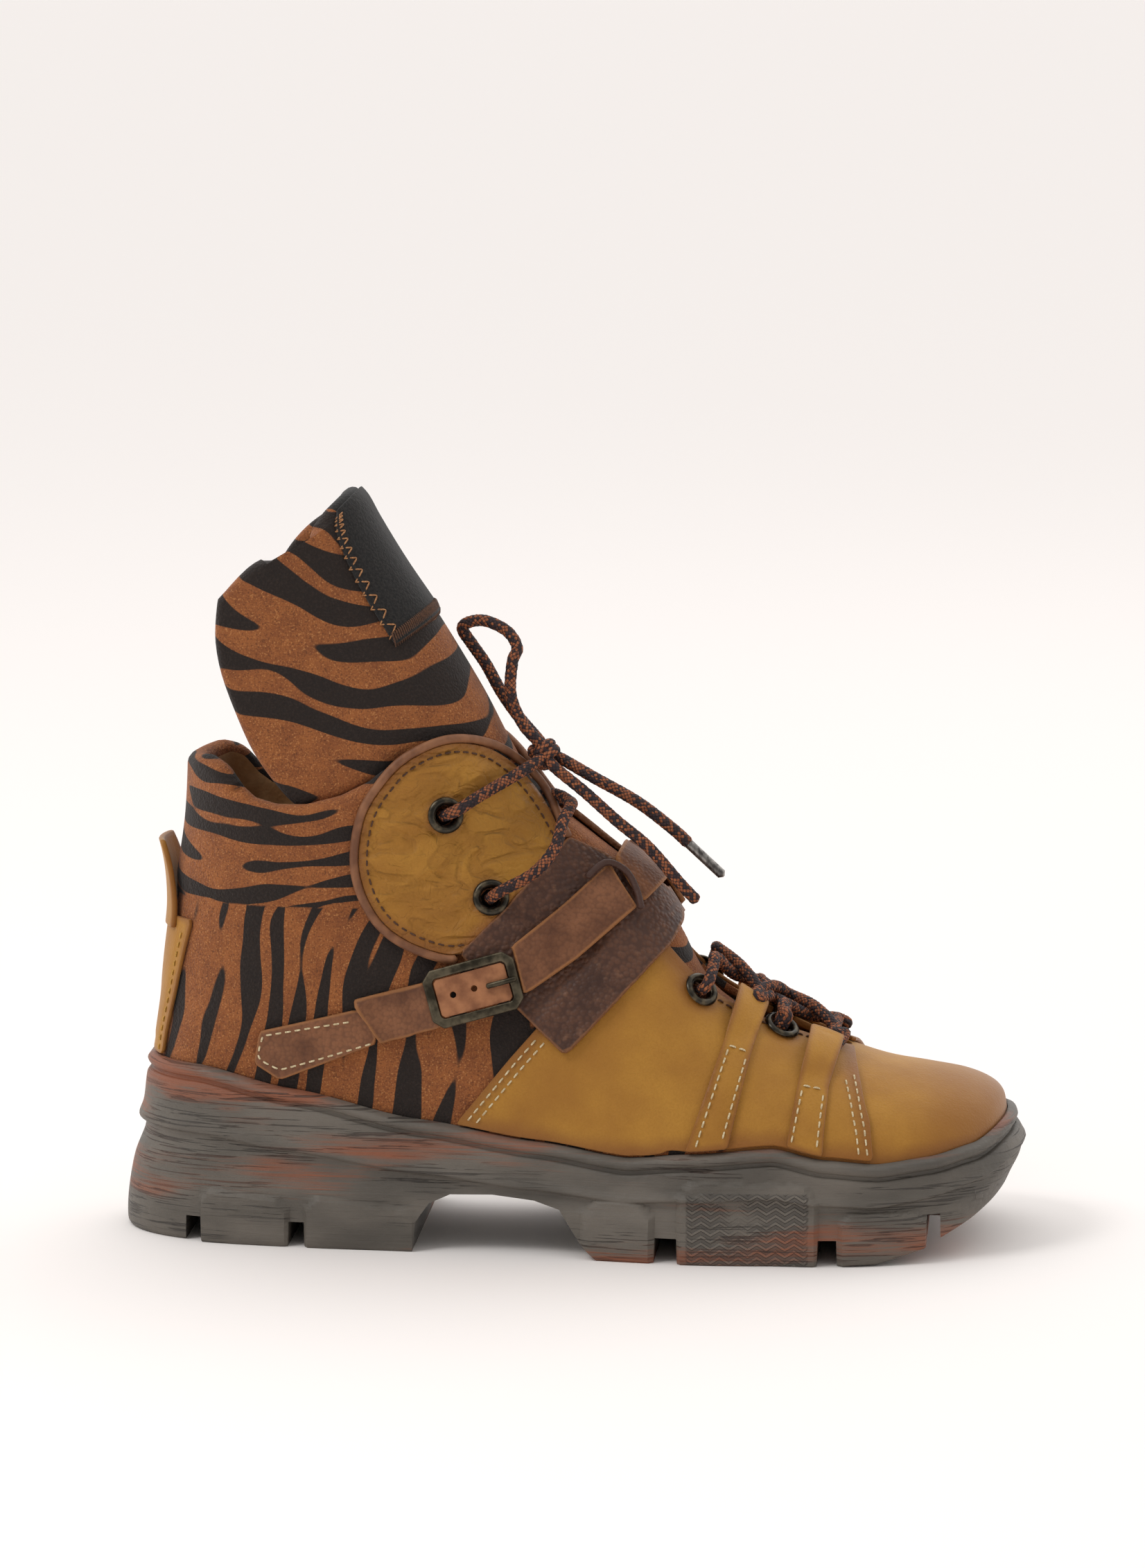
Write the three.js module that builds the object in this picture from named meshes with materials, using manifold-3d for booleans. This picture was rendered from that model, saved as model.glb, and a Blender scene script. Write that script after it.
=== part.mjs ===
// A right ankle boot in the manner of a sports shoe: a moulded lugged sole, a suede and nubuck upper with
// a tall padded tongue, an instep band with a buckled strap, eyelets, lace loops and a round lace.
// Millimetres, +Z up, toe towards +X, outer side of the foot towards -Y.
import * as THREE from 'three';
import { mergeVertices } from 'three/addons/utils/BufferGeometryUtils.js';
import Module from 'manifold-3d';

const wasm = await Module();
wasm.setup();

// Driving sizes of the last, which the upper's outer face follows
const LAST_LENGTH = 271.5;
const BALL_WIDTH = 97;
const COLLAR_HEIGHT = 155;

// Thicknesses of the leathers and the clearance between two pieces
const UPPER_WALL = 2.4;
const COLLAR_PAD = 6.6;
const QUARTER_THICK = 1.3;
const FLAP_THICK = 1.7;
const STRAP_THICK = 1.8;
const BAND_THICK = 2;
const TONGUE_THICK = 6.5;
const INSOLE_THICK = 3.5;
const CLEARANCE = 0.3;
const LIP_GAP = 0.9;

// Sole
const TREAD_DEPTH = 4;
const NOTCH_HEIGHT = 8;
const NOTCH_REACH = 15;
const PANEL_RISE = 1.3;
const CENTRE_GROOVE = 7;
const ARCH_HEIGHT = 19;
const GROOVE_BELOW = 5.2;

// Tongue
const TONGUE_HALF_WIDTH = 30;
const TONGUE_DEPTH = 67;
const PATCH_TURN = 0.46;
const PATCH_FROM = 0.745;
const PATCH_TO = 0.985;
const PATCH_THICK = 1.2;
const THROAT_HALF_WIDTH = 13.5;
const THROAT_DEPTH = 54;

// Lace, eyelets, buckle and small leather pieces
const LACE_DIAMETER = 4;
const AGLET_DIAMETER = 3.2;
const AGLET_LENGTH = 15;
const KNOT_DIAMETER = 9.5;
const EYELET_DIAMETER = 11.7;
const EYELET_BORE = 6.6;
const EYELET_BARREL = 8;
const EYELET_RIM = 1.1;
const BUCKLE_LENGTH = 30;
const BUCKLE_WIDTH = 19;
const BUCKLE_BAR = 3;
const BUCKLE_THICK = 2.2;
const PRONG_DIAMETER = 1.8;
const TIE_DIAMETER = 2.6;
const PIPING_WIDTH = 2.8;
const PIPING_RISE = 0.7;
const PULL_TAB_WIDTH = 30;
const PULL_TAB_HEIGHT = 24;
const PULL_TAB_LEAN = 6;

// Layers over the upper's face, as the offset of each layer's inner side
const ON_UPPER = CLEARANCE;
const ON_QUARTER = ON_UPPER + QUARTER_THICK + CLEARANCE;
const ON_BAND = ON_QUARTER + BAND_THICK + CLEARANCE;
const ON_BASE = ON_UPPER + STRAP_THICK + CLEARANCE;

const OUTER = -1;
const INNER = 1;
const SIDES = [[OUTER, 'outer'], [INNER, 'inner']];

// Table whose first line names the columns of the rows under it
function table(columns, ...rows) {
  return rows.map((row) => Object.fromEntries(row.map((value, i) => [columns[i], value])));
}

// Sections of the last from the toe to above the collar. Front and back are the two ends of each section
// in the side view, as shares of the last's length from the heel and of the collar's height. Outer and
// inner are the reaches to either side as shares of the ball width, widest is where along the section they
// lie, shoulder and taper shape the top half, and base squares the bottom half.
const SECTIONS = table(
  ['frontX', 'frontZ', 'backX', 'backZ', 'outer', 'inner', 'widest', 'shoulder', 'taper', 'base'],
  [1.0, 0.258, 1.0, 0.232, -0.04, 0.062, 0.5, 2, 0, 2],
  [0.995, 0.294, 0.995, 0.19, 0.095, 0.2, 0.45, 2.1, 0, 2.4],
  [0.98, 0.319, 0.98, 0.155, 0.22, 0.3, 0.42, 2.3, 0.02, 3],
  [0.95, 0.339, 0.95, 0.123, 0.33, 0.385, 0.4, 2.4, 0.04, 3.4],
  [0.906, 0.353, 0.906, 0.097, 0.415, 0.445, 0.38, 2.4, 0.06, 3.6],
  [0.855, 0.37, 0.855, 0.077, 0.47, 0.48, 0.36, 2.3, 0.09, 4],
  [0.796, 0.408, 0.796, 0.071, 0.503, 0.49, 0.33, 2.2, 0.13, 4],
  [0.729, 0.465, 0.722, 0.071, 0.51, 0.474, 0.31, 2.1, 0.18, 4],
  [0.67, 0.526, 0.641, 0.077, 0.503, 0.423, 0.3, 2.1, 0.2, 4],
  [0.634, 0.59, 0.538, 0.097, 0.469, 0.355, 0.32, 2.2, 0.17, 4],
  [0.604, 0.668, 0.42, 0.123, 0.425, 0.315, 0.36, 2.2, 0.14, 3.8],
  [0.571, 0.748, 0.273, 0.161, 0.392, 0.32, 0.4, 2.2, 0.1, 3.4],
  [0.51, 0.832, 0.107, 0.2, 0.371, 0.34, 0.43, 2.2, 0.06, 2.8],
  [0.459, 0.903, -0.005, 0.29, 0.357, 0.345, 0.46, 2.2, 0.04, 2.35],
  [0.431, 0.965, -0.004, 0.503, 0.351, 0.345, 0.48, 2.2, 0.02, 2.15],
  [0.408, 1.026, 0.009, 0.697, 0.346, 0.345, 0.48, 2.2, 0.02, 2.05],
  [0.386, 1.095, 0.024, 0.871, 0.351, 0.351, 0.48, 2.2, 0.02, 2.05],
  [0.361, 1.174, 0.029, 1.06, 0.356, 0.356, 0.48, 2.2, 0.02, 2.05],
);
const LAST_STATIONS = 18;
const LAST_AROUND = 20;
const LAST_START = 0.002;

// Heights along the foot, as shares of the last's length and of the collar's height: the rim of the sole,
// the bed under the insole, and the lift of the tread towards the toe
const SOLE_HEIGHTS = [
  { at: -0.04, rim: 0.368, bed: 0.245, tread: 0 },
  { at: 0.05, rim: 0.365, bed: 0.24, tread: 0 },
  { at: 0.16, rim: 0.326, bed: 0.225, tread: 0 },
  { at: 0.31, rim: 0.271, bed: 0.19, tread: 0 },
  { at: 0.45, rim: 0.235, bed: 0.15, tread: 0 },
  { at: 0.56, rim: 0.21, bed: 0.125, tread: 0 },
  { at: 0.63, rim: 0.222, bed: 0.115, tread: 0 },
  { at: 0.73, rim: 0.236, bed: 0.11, tread: 0 },
  { at: 0.79, rim: 0.214, bed: 0.112, tread: 0 },
  { at: 0.85, rim: 0.204, bed: 0.12, tread: 0.004 },
  { at: 0.91, rim: 0.214, bed: 0.135, tread: 0.033 },
  { at: 0.96, rim: 0.23, bed: 0.155, tread: 0.075 },
  { at: 1.0, rim: 0.262, bed: 0.185, tread: 0.115 },
  { at: 1.04, rim: 0.272, bed: 0.19, tread: 0.15 },
];

// Levels of the sole's side from the lip down: how far below the rim, then as a share of the height left
// under the groove; side, heel and toe are how far the side stands out from the upper there
const SOLE_LEVELS = [
  { below: 0, side: 0.9, heel: 0.9, toe: 0.9 },
  { below: 0.9, side: 2.9, heel: 2.9, toe: 2.9 },
  { below: 2.2, side: 3.6, heel: 3.6, toe: 3.6 },
  { below: 3.6, side: 2.9, heel: 2.9, toe: 2.9 },
  { below: 4.2, side: 1.9, heel: 1.9, toe: 1.9 },
  { below: GROOVE_BELOW, side: 2.1, heel: 2.2, toe: 2.2 },
  { share: 0.97, side: 3.4, heel: 3.8, toe: 4 },
  { share: 0.8, side: 4, heel: 5, toe: 5.6 },
  { share: 0.69, side: 4.6, heel: 6.2, toe: 6 },
  { share: 0.62, side: 3.8, heel: 4.6, toe: 5.2 },
  { share: 0.45, side: 4.8, heel: 8, toe: 4.6 },
  { share: 0.22, side: 5.5, heel: 10.2, toe: 2.4 },
  { share: 0.04, side: 5.6, heel: 10.6, toe: 0.6 },
  { share: 0, side: 4.9, heel: 9.2, toe: -0.6 },
];
const SOLE_STATIONS = 18;

// Lugs of the sole's side: from and to are shares of the last's length, top a share of the rim's height
// over the tread for the raised panel, and the notches lie between neighbours
const LUGS = [
  { from: -0.06, to: 0.03, top: 0 },
  { from: 0.052, to: 0.155, top: 0.31 },
  { from: 0.178, to: 0.31, top: 0.32 },
  { from: 0.51, to: 0.59, top: 0.55 },
  { from: 0.622, to: 0.781, top: 0.76 },
  { from: 0.808, to: 0.908, top: 0.5 },
  { from: 0.927, to: 1.06, top: 0 },
];
const HEEL_LUGS = 3;

// Arch of the sole in the side view, as shares of the last's length and of the arch's height
const ARCH = [
  { x: 0.302, z: -0.4 },
  { x: 0.309, z: 0.5 },
  { x: 0.325, z: 0.82 },
  { x: 0.35, z: 0.98 },
  { x: 0.4, z: 1 },
  { x: 0.45, z: 0.93 },
  { x: 0.48, z: 0.8 },
  { x: 0.488, z: 0.62 },
  { x: 0.505, z: 0.25 },
  { x: 0.525, z: 0 },
  { x: 0.54, z: -0.4 },
];

// Tongue from the vamp to its top: its ridge in the side view, as shares of the last's length and of the
// collar's height, and its depth and half width as shares of the tongue's own sizes
const TONGUE = [
  { x: 0.82, z: 0.352, depth: 0.1, width: 0.45 },
  { x: 0.765, z: 0.394, depth: 0.12, width: 0.52 },
  { x: 0.7, z: 0.452, depth: 0.15, width: 0.6 },
  { x: 0.655, z: 0.505, depth: 0.2, width: 0.62 },
  { x: 0.628, z: 0.575, depth: 0.27, width: 0.64 },
  { x: 0.607, z: 0.658, depth: 0.38, width: 0.68 },
  { x: 0.573, z: 0.74, depth: 0.48, width: 0.74 },
  { x: 0.51, z: 0.826, depth: 0.6, width: 0.82 },
  { x: 0.449, z: 0.912, depth: 0.72, width: 0.9 },
  { x: 0.411, z: 1.013, depth: 0.86, width: 0.96 },
  { x: 0.375, z: 1.135, depth: 0.97, width: 1 },
  { x: 0.3285, z: 1.27, depth: 1, width: 1.02 },
  { x: 0.282, z: 1.39, depth: 0.93, width: 1.02 },
  { x: 0.251, z: 1.478, depth: 0.8, width: 1 },
  { x: 0.236, z: 1.525, depth: 0.62, width: 0.95 },
  { x: 0.226, z: 1.545, depth: 0.45, width: 0.86 },
];
const TONGUE_STATIONS = 15;
const TONGUE_AROUND = 10;
const TONGUE_SQUARE = 2.6;

// Side-view outlines, as shares of the last's length and of the collar's height
const COLLAR_LINE = [
  [-0.1, 1.0], [0.02, 0.99], [0.05, 1.0], [0.072, 0.985], [0.092, 0.945], [0.11, 0.922], [0.14, 0.91],
  [0.18, 0.912], [0.22, 0.93], [0.255, 0.96], [0.285, 1.0], [0.315, 1.028], [0.345, 1.035], [0.372, 1.03],
  [0.4, 1.0], [0.43, 0.95], [0.46, 0.89], [0.485, 0.845], [0.52, 0.845], [0.8, 1.3], [0.8, 2], [-0.1, 2],
];
const COLLAR_SEAM = [
  [-0.1, 0.705], [0.06, 0.7], [0.18, 0.705], [0.26, 0.715], [0.3, 0.76], [0.33, 1.3], [-0.1, 1.3],
];
const FLAP = [
  [0.3, 1.012], [0.342, 1.038], [0.385, 1.018], [0.425, 0.955], [0.462, 0.862], [0.475, 0.8], [0.44, 0.7],
  [0.37, 0.618], [0.315, 0.628], [0.268, 0.682], [0.243, 0.78], [0.248, 0.89], [0.272, 0.965],
];
const BAND = [
  [0.479, 0.83], [0.52, 0.795], [0.575, 0.735], [0.6, 0.69], [0.607, 0.655], [0.598, 0.62],
  [0.486, 0.413], [0.43, 0.503], [0.36, 0.612], [0.409, 0.697],
];
const QUARTER = [
  [0.8, 0.46], [0.822, 0.37], [0.84, 0.28], [0.853, 0.1], [0.3, 0.1], [0.36, 0.27], [0.42, 0.4],
  [0.455, 0.47], [0.53, 0.62], [0.57, 0.82], [0.72, 0.82],
];
const LACE_LOOPS = [
  [[0.681, 0.59], [0.723, 0.545], [0.698, 0.405], [0.66, 0.1], [0.607, 0.1], [0.668, 0.43]],
  [[0.766, 0.475], [0.804, 0.425], [0.79, 0.34], [0.782, 0.1], [0.735, 0.1], [0.757, 0.35]],
];
const STRAP_BASE = [[0.125, 0.445], [0.118, 0.38], [0.147, 0.348], [0.265, 0.432], [0.243, 0.497]];
const STRAP_TAIL = [[0.236, 0.516], [0.345, 0.565], [0.355, 0.475], [0.269, 0.432]];
const BUCKLED_STRAP = [
  [0.38, 0.57], [0.479, 0.703], [0.523, 0.768], [0.556, 0.69], [0.494, 0.6], [0.4, 0.49],
];
const CROSS_STRAP = [[0.53, 0.776], [0.563, 0.698], [0.64, 0.83], [0.58, 0.93]];
const INNER_STRAP = [[0.41, 0.18], [0.46, 0.16], [0.64, 0.83], [0.58, 0.93]];
const INNER_BAND = [
  [0.479, 0.9], [0.56, 0.9], [0.59, 0.72], [0.607, 0.655], [0.598, 0.62],
  [0.486, 0.413], [0.43, 0.503], [0.36, 0.612], [0.409, 0.697],
];
const TIE_ROUTE = [[0.499, 0.745], [0.518, 0.766], [0.54, 0.748], [0.553, 0.715], [0.56, 0.68]];
const BACKSTAY = [
  [-24, 0.12], [-15, 0.35], [-17, 0.5], [-20, 0.66], [20, 0.66], [17, 0.5], [15, 0.35], [24, 0.12],
];

// Places of the eyelets and of the buckle in the side view
const EYELETS = [
  { name: 'flap_top', x: 0.339, z: 0.895, on: ON_UPPER + FLAP_THICK },
  { name: 'flap_low', x: 0.394, z: 0.724, on: ON_UPPER + FLAP_THICK },
  { name: 'quarter_top', x: 0.637, z: 0.527, on: ON_UPPER + QUARTER_THICK },
  { name: 'quarter_low', x: 0.732, z: 0.443, on: ON_UPPER + QUARTER_THICK },
];
const BUCKLE = { x: 0.377, z: 0.541, turn: 0.28 };

// Where the lace comes over the edge of the throat, from the lowest loop up, as shares of the length
const LACE_EDGES = [0.79, 0.728, 0.697, 0.642];
const LACE_LIFT = 6;
const EDGE_TURN = 0.085;

// Routes of the lace's tied stretches, in millimetres from the middle of the shoe's length
const TIED_MIDDLE = 134;
const KNOT_AT = [-11.2, -6, 155.8];
const STRAND_ROUTE = [[0.339, 0.895], [0.372, 0.928], [0.405, 0.955]];
const STRAND_LIFT = 3.9;
const STRAND_ENDS = { outer: [-13.1, -10.9, 154.2], inner: [-12.5, -0.9, 154.8] };
const LOOP_ROUTE = [
  [-13.9, -7.3, 160.1], [-18.6, -7, 165.6], [-22.4, -6, 174.6], [-22, -4.6, 185],
  [-20.6, -3, 189.4], [-23.9, -1, 194.4], [-31, 1.6, 197.4], [-36.6, 3, 196.8],
  [-38.8, 3.8, 194.4], [-35.8, 4.6, 189.4], [-31.4, 4.8, 183], [-26.4, 4, 174.2],
  [-20.6, 1.4, 166.6], [-13.6, -2.5, 159.4],
];
const END_ROUTES = [
  [[-6.3, -6.3, 154.2], [4.6, -9, 148.6], [18.6, -10, 141], [30, -11, 132.6], [35.4, -11, 127.6]],
  [
    [-8.3, -10.5, 152.3], [2, -13, 144.4], [12.4, -16, 135.8],
    [22.6, -18, 127.8], [33, -20, 116.4], [38.6, -20, 110.6],
  ],
];

const mm = ([x, z]) => new THREE.Vector2(x * LAST_LENGTH, z * COLLAR_HEIGHT);

// Smooth value of one column of a table at a place between its rows
function along(rows, column, place) {
  const last = rows.length - 1;
  const i = Math.min(Math.floor(place), last - 1);
  const f = place - i;
  const v = (k) => rows[Math.max(0, Math.min(last, k))][column];
  const slopeStart = (v(i + 1) - v(i - 1)) / 2;
  const slopeEnd = (v(i + 2) - v(i)) / 2;
  const f2 = f * f;
  const f3 = f2 * f;
  return (2 * f3 - 3 * f2 + 1) * v(i) + (f3 - 2 * f2 + f) * slopeStart
    + (-2 * f3 + 3 * f2) * v(i + 1) + (f3 - f2) * slopeEnd;
}

// Straight value of a height table at a share of the last's length
function heightAt(column, x) {
  const share = x / LAST_LENGTH;
  const rows = SOLE_HEIGHTS;
  let i = rows.findIndex((row) => row.at > share);
  if (i < 1) i = i === 0 ? 1 : rows.length - 1;
  const low = rows[i - 1];
  const high = rows[i];
  const f = Math.max(0, Math.min(1, (share - low.at) / (high.at - low.at)));
  const eased = f * f * (3 - 2 * f);
  const blend = column === 'tread' ? f : 0.5 * (f + eased);
  return (low[column] + (high[column] - low[column]) * blend) * COLLAR_HEIGHT;
}

// Point of the last's face: place runs from 0 at the toe to 1 above the collar, and turn runs round the
// section from 0 at the ridge through 0.5 on the outer side to 1 underneath, and to -1 on the inner side
function lastFace(place, turn) {
  const at = place * (SECTIONS.length - 1);
  const row = (column) => along(SECTIONS, column, at);
  const front = new THREE.Vector2(row('frontX') * LAST_LENGTH, row('frontZ') * COLLAR_HEIGHT);
  const back = new THREE.Vector2(row('backX') * LAST_LENGTH, row('backZ') * COLLAR_HEIGHT);
  const reach = turn >= 0 ? row('outer') : row('inner');
  const middle = (row('inner') - row('outer')) / 2;
  const widest = row('widest');
  const swing = Math.abs(turn) * Math.PI;
  let rise;
  let share;
  if (swing <= Math.PI / 2) {
    const up = Math.max(0, Math.cos(swing)) ** (2 / row('shoulder'));
    rise = widest + (1 - widest) * up;
    share = Math.sin(swing) * (1 - row('taper') * up);
  } else {
    rise = widest * (1 - Math.abs(Math.cos(swing)) ** (2 / row('base')));
    share = Math.max(0, Math.sin(swing)) ** (2 / row('base'));
  }
  const side = turn >= 0 ? OUTER : INNER;
  const half = reach - side * middle;
  const y = (middle + side * half * share) * BALL_WIDTH;
  return new THREE.Vector3(back.x + (front.x - back.x) * rise, y, back.y + (front.y - back.y) * rise);
}

// The same face moved outwards by an offset along its normal
function offsetFace(place, turn, offset) {
  const step = 0.004;
  const low = Math.max(LAST_START, place - step);
  const high = Math.min(1, place + step);
  const wrap = (t) => (t > 1 ? t - 2 : t < -1 ? t + 2 : t);
  const alongPlace = lastFace(high, turn).sub(lastFace(low, turn));
  const inside = Math.max(2 * LAST_START, place);
  const alongTurn = lastFace(inside, wrap(turn + step)).sub(lastFace(inside, wrap(turn - step)));
  const normal = alongPlace.cross(alongTurn).normalize();
  return lastFace(place, turn).addScaledVector(normal, offset);
}

// Closed solids for the boolean cuts
function solidOf(vertices, triangles) {
  const mesh = new wasm.Mesh({
    numProp: 3,
    vertProperties: new Float32Array(vertices),
    triVerts: new Uint32Array(triangles),
  });
  return new wasm.Manifold(mesh);
}

function solidOfGeometry(geometry) {
  const bare = geometry.clone();
  bare.deleteAttribute('normal');
  bare.deleteAttribute('uv');
  const merged = mergeVertices(bare, 1e-4);
  return solidOf(merged.attributes.position.array, merged.index.array);
}

// Rings of points, each the same number, skinned into one closed solid with a fan on either end
function skin(rings, closeEnds = fanEnd) {
  const count = rings[0].length;
  const vertices = rings.flat().flatMap((p) => [p.x, p.y, p.z]);
  const triangles = [];
  for (let j = 0; j + 1 < rings.length; j += 1) {
    for (let i = 0; i < count; i += 1) {
      const k = (i + 1) % count;
      const a = j * count + i;
      const b = j * count + k;
      const c = (j + 1) * count + k;
      const d = (j + 1) * count + i;
      triangles.push(a, b, c, a, c, d);
    }
  }
  closeEnds(rings[0], 0, true, vertices, triangles);
  closeEnds(rings[rings.length - 1], (rings.length - 1) * count, false, vertices, triangles);
  const solid = solidOf(vertices, triangles);
  if (solid.volume() > 0) return solid;
  const turned = [];
  for (let i = 0; i < triangles.length; i += 3) {
    turned.push(triangles[i], triangles[i + 2], triangles[i + 1]);
  }
  return solidOf(vertices, turned);
}

function fanEnd(ring, start, first, vertices, triangles) {
  const centre = ring.reduce((sum, p) => sum.add(p), new THREE.Vector3()).divideScalar(ring.length);
  const middle = vertices.length / 3;
  vertices.push(centre.x, centre.y, centre.z);
  for (let i = 0; i < ring.length; i += 1) {
    const k = (i + 1) % ring.length;
    if (first) triangles.push(start + k, start + i, middle);
    else triangles.push(start + i, start + k, middle);
  }
}

// End of a ring whose first half runs along one side and whose second half comes back along the other
function ladderEnd(ring, start, first, vertices, triangles) {
  const count = ring.length;
  for (let i = 0; i < count / 2 - 1; i += 1) {
    const a = start + i;
    const b = start + i + 1;
    const c = start + count - 2 - i;
    const d = start + count - 1 - i;
    const quad = first ? [b, a, d, b, d, c] : [a, b, d, b, c, d];
    triangles.push(...quad);
  }
}

const lastCache = new Map();

function last(offset) {
  if (!lastCache.has(offset)) {
    const rings = [];
    for (let j = 0; j <= LAST_STATIONS; j += 1) {
      const place = LAST_START + ((1 - LAST_START) * j) / LAST_STATIONS;
      const ring = [];
      for (let i = 0; i < LAST_AROUND; i += 1) {
        ring.push(offsetFace(place, (2 * i) / LAST_AROUND - 1 + 1 / LAST_AROUND, offset));
      }
      rings.push(ring);
    }
    lastCache.set(offset, skin(rings));
  }
  return lastCache.get(offset);
}

const layer = (inner, thick) => last(inner + thick).subtract(last(inner));

// Prism of a side-view outline between two depths
function sidePrism(outline, fromY, toY) {
  const shape = new THREE.Shape(outline.map(mm));
  const geometry = new THREE.ExtrudeGeometry(shape, { depth: Math.abs(toY - fromY), bevelEnabled: false });
  geometry.rotateX(Math.PI / 2);
  geometry.translate(0, Math.max(fromY, toY), 0);
  return solidOfGeometry(geometry);
}

const WIDE = 2 * BALL_WIDTH;
const halfPrism = (outline, side, from = 1) => sidePrism(outline, side * from, side * WIDE);
const wholePrism = (outline) => sidePrism(outline, -WIDE, WIDE);

function roundOutline(outline, points) {
  const curve = new THREE.SplineCurve([...outline, outline[0]].map(([x, z]) => new THREE.Vector2(x, z)));
  return curve.getPoints(points).slice(0, -1).map((p) => [p.x, p.y]);
}

// Outline moved inwards or outwards from its middle by millimetres
function growOutline(outline, grow) {
  const middle = new THREE.Vector2();
  outline.forEach((p) => middle.addScaledVector(mm(p), 1 / outline.length));
  return outline.map((p) => {
    const arm = mm(p).sub(middle);
    const moved = arm.setLength(arm.length() + grow).add(middle);
    return [moved.x / LAST_LENGTH, moved.y / COLLAR_HEIGHT];
  });
}

// Place and turn on the last whose side view is a given point
function findOnLast(x, z, side) {
  const goal = mm([x, z]);
  let best = { place: 0.5, turn: 0.3, miss: Infinity };
  let span = 0.5;
  for (let round = 0; round < 8; round += 1) {
    const centre = { ...best };
    for (let i = -8; i <= 8; i += 1) {
      for (let j = -8; j <= 8; j += 1) {
        const place = Math.min(1, Math.max(0.01, centre.place + (span * i) / 8));
        const turn = Math.min(0.6, Math.max(0.01, centre.turn + (0.6 * span * j) / 8));
        const p = lastFace(place, -side * turn);
        const miss = Math.hypot(p.x - goal.x, p.z - goal.y);
        if (miss < best.miss) best = { place, turn, miss };
      }
    }
    span *= 0.35;
  }
  return { place: best.place, turn: -side * best.turn };
}

// Frame standing on the last at a point of the side view, with its z axis along the outward normal
function frameOnLast(x, z, side, offset, turned = 0) {
  const { place, turn } = findOnLast(x, z, side);
  const seat = offsetFace(place, turn, offset);
  const normal = offsetFace(place, turn, offset + 1).sub(seat).normalize();
  const across = new THREE.Vector3(Math.cos(turned), 0, Math.sin(turned));
  across.addScaledVector(normal, -across.dot(normal)).normalize();
  const upward = normal.clone().cross(across);
  return new THREE.Matrix4().makeBasis(across, upward, normal).setPosition(seat);
}

// Colours and finishes of the real materials
function finish(color, roughness, metalness = 0) {
  return new THREE.MeshStandardMaterial({ color, roughness, metalness });
}

const RUBBER = finish(0x6f6c67, 0.7);
const TIGER_SUEDE = finish(0x7d4622, 0.95);
const NUBUCK = finish(0xb9802a, 0.7);
const BROWN_LEATHER = finish(0x553a2c, 0.65);
const TAN_LEATHER = finish(0x9a6a40, 0.7);
const BLACK_SUEDE = finish(0x1b1a19, 0.95);
const GUNMETAL = finish(0x3c3a38, 0.4, 0.9);
const OLD_BRASS = finish(0x4a4436, 0.4, 0.9);
const LACE = finish(0x4a2c22, 0.85);
const AGLET = finish(0x8c8a86, 0.35);

const shoe = new THREE.Group();

function addPiece(name, geometry, material) {
  const mesh = new THREE.Mesh(geometry, material);
  mesh.name = name;
  shoe.add(mesh);
  return mesh;
}

function addSolid(name, solid, material) {
  const { vertProperties, triVerts } = solid.getMesh();
  const geometry = new THREE.BufferGeometry();
  geometry.setAttribute('position', new THREE.BufferAttribute(new Float32Array(vertProperties), 3));
  geometry.setIndex(new THREE.BufferAttribute(new Uint32Array(triVerts), 1));
  return addPiece(name, geometry, material);
}

// The largest of the bodies that a cut leaves, without crumbs
function mainBody(solid) {
  const bodies = solid.decompose();
  return bodies.reduce((best, body) => (body.volume() > best.volume() ? body : best));
}

// Sole: rings round the upper's rim, from the lip down to the tread
function rimPoint(place, side) {
  let high = 0.02;
  let low = 0.998;
  for (let i = 0; i < 30; i += 1) {
    const turn = (high + low) / 2;
    const p = lastFace(place, -side * turn);
    if (p.z > heightAt('rim', p.x)) high = turn;
    else low = turn;
  }
  return lastFace(place, -side * low);
}

function heelPlace() {
  let low = 0.6;
  let high = 0.9;
  for (let i = 0; i < 30; i += 1) {
    const place = (low + high) / 2;
    const back = lastFace(place, 1);
    if (back.z < heightAt('rim', back.x)) low = place;
    else high = place;
  }
  return low;
}

function rimOutline() {
  const heel = heelPlace();
  const outline = (side) => {
    const points = [];
    for (let i = 0; i < SOLE_STATIONS; i += 1) {
      const f = (i + 0.5) / SOLE_STATIONS;
      points.push(rimPoint(0.006 + (heel - 0.0065) * Math.sin((Math.PI * f) / 2), side));
    }
    return points;
  };
  return [...outline(OUTER), ...outline(INNER).reverse()];
}

const RIM = rimOutline();

function soleRing(level, swell) {
  const count = RIM.length;
  return RIM.map((point, i) => {
    const before = RIM[(i + count - 1) % count];
    const after = RIM[(i + 1) % count];
    const normal = new THREE.Vector2(before.y - after.y, after.x - before.x).normalize();
    const heelward = Math.max(0, -normal.x) ** 2;
    const toeward = Math.max(0, normal.x) ** 2;
    const out = level.side + (level.heel - level.side) * heelward + (level.toe - level.side) * toeward;
    const x = point.x + normal.x * (out + swell);
    const y = point.y + normal.y * (out + swell);
    const rim = heightAt('rim', point.x);
    const tread = heightAt('tread', x);
    const wall = rim - GROOVE_BELOW - tread;
    const z = level.share === undefined ? rim - level.below : tread + wall * level.share;
    return new THREE.Vector3(x, y, z);
  });
}

const soleForm = (swell) => skin(SOLE_LEVELS.map((level) => soleRing(level, swell)), ladderEnd);

function lugPanel(lug) {
  const top = (share) => (lug.top * heightAt('rim', share * LAST_LENGTH)) / COLLAR_HEIGHT;
  const slant = 0.012;
  return [
    [lug.from, -0.1], [lug.from, top(lug.from) * 0.8], [lug.from + slant, top(lug.from)],
    [lug.to - slant, top(lug.to)], [lug.to, top(lug.to) * 0.8], [lug.to, -0.1],
  ];
}

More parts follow.
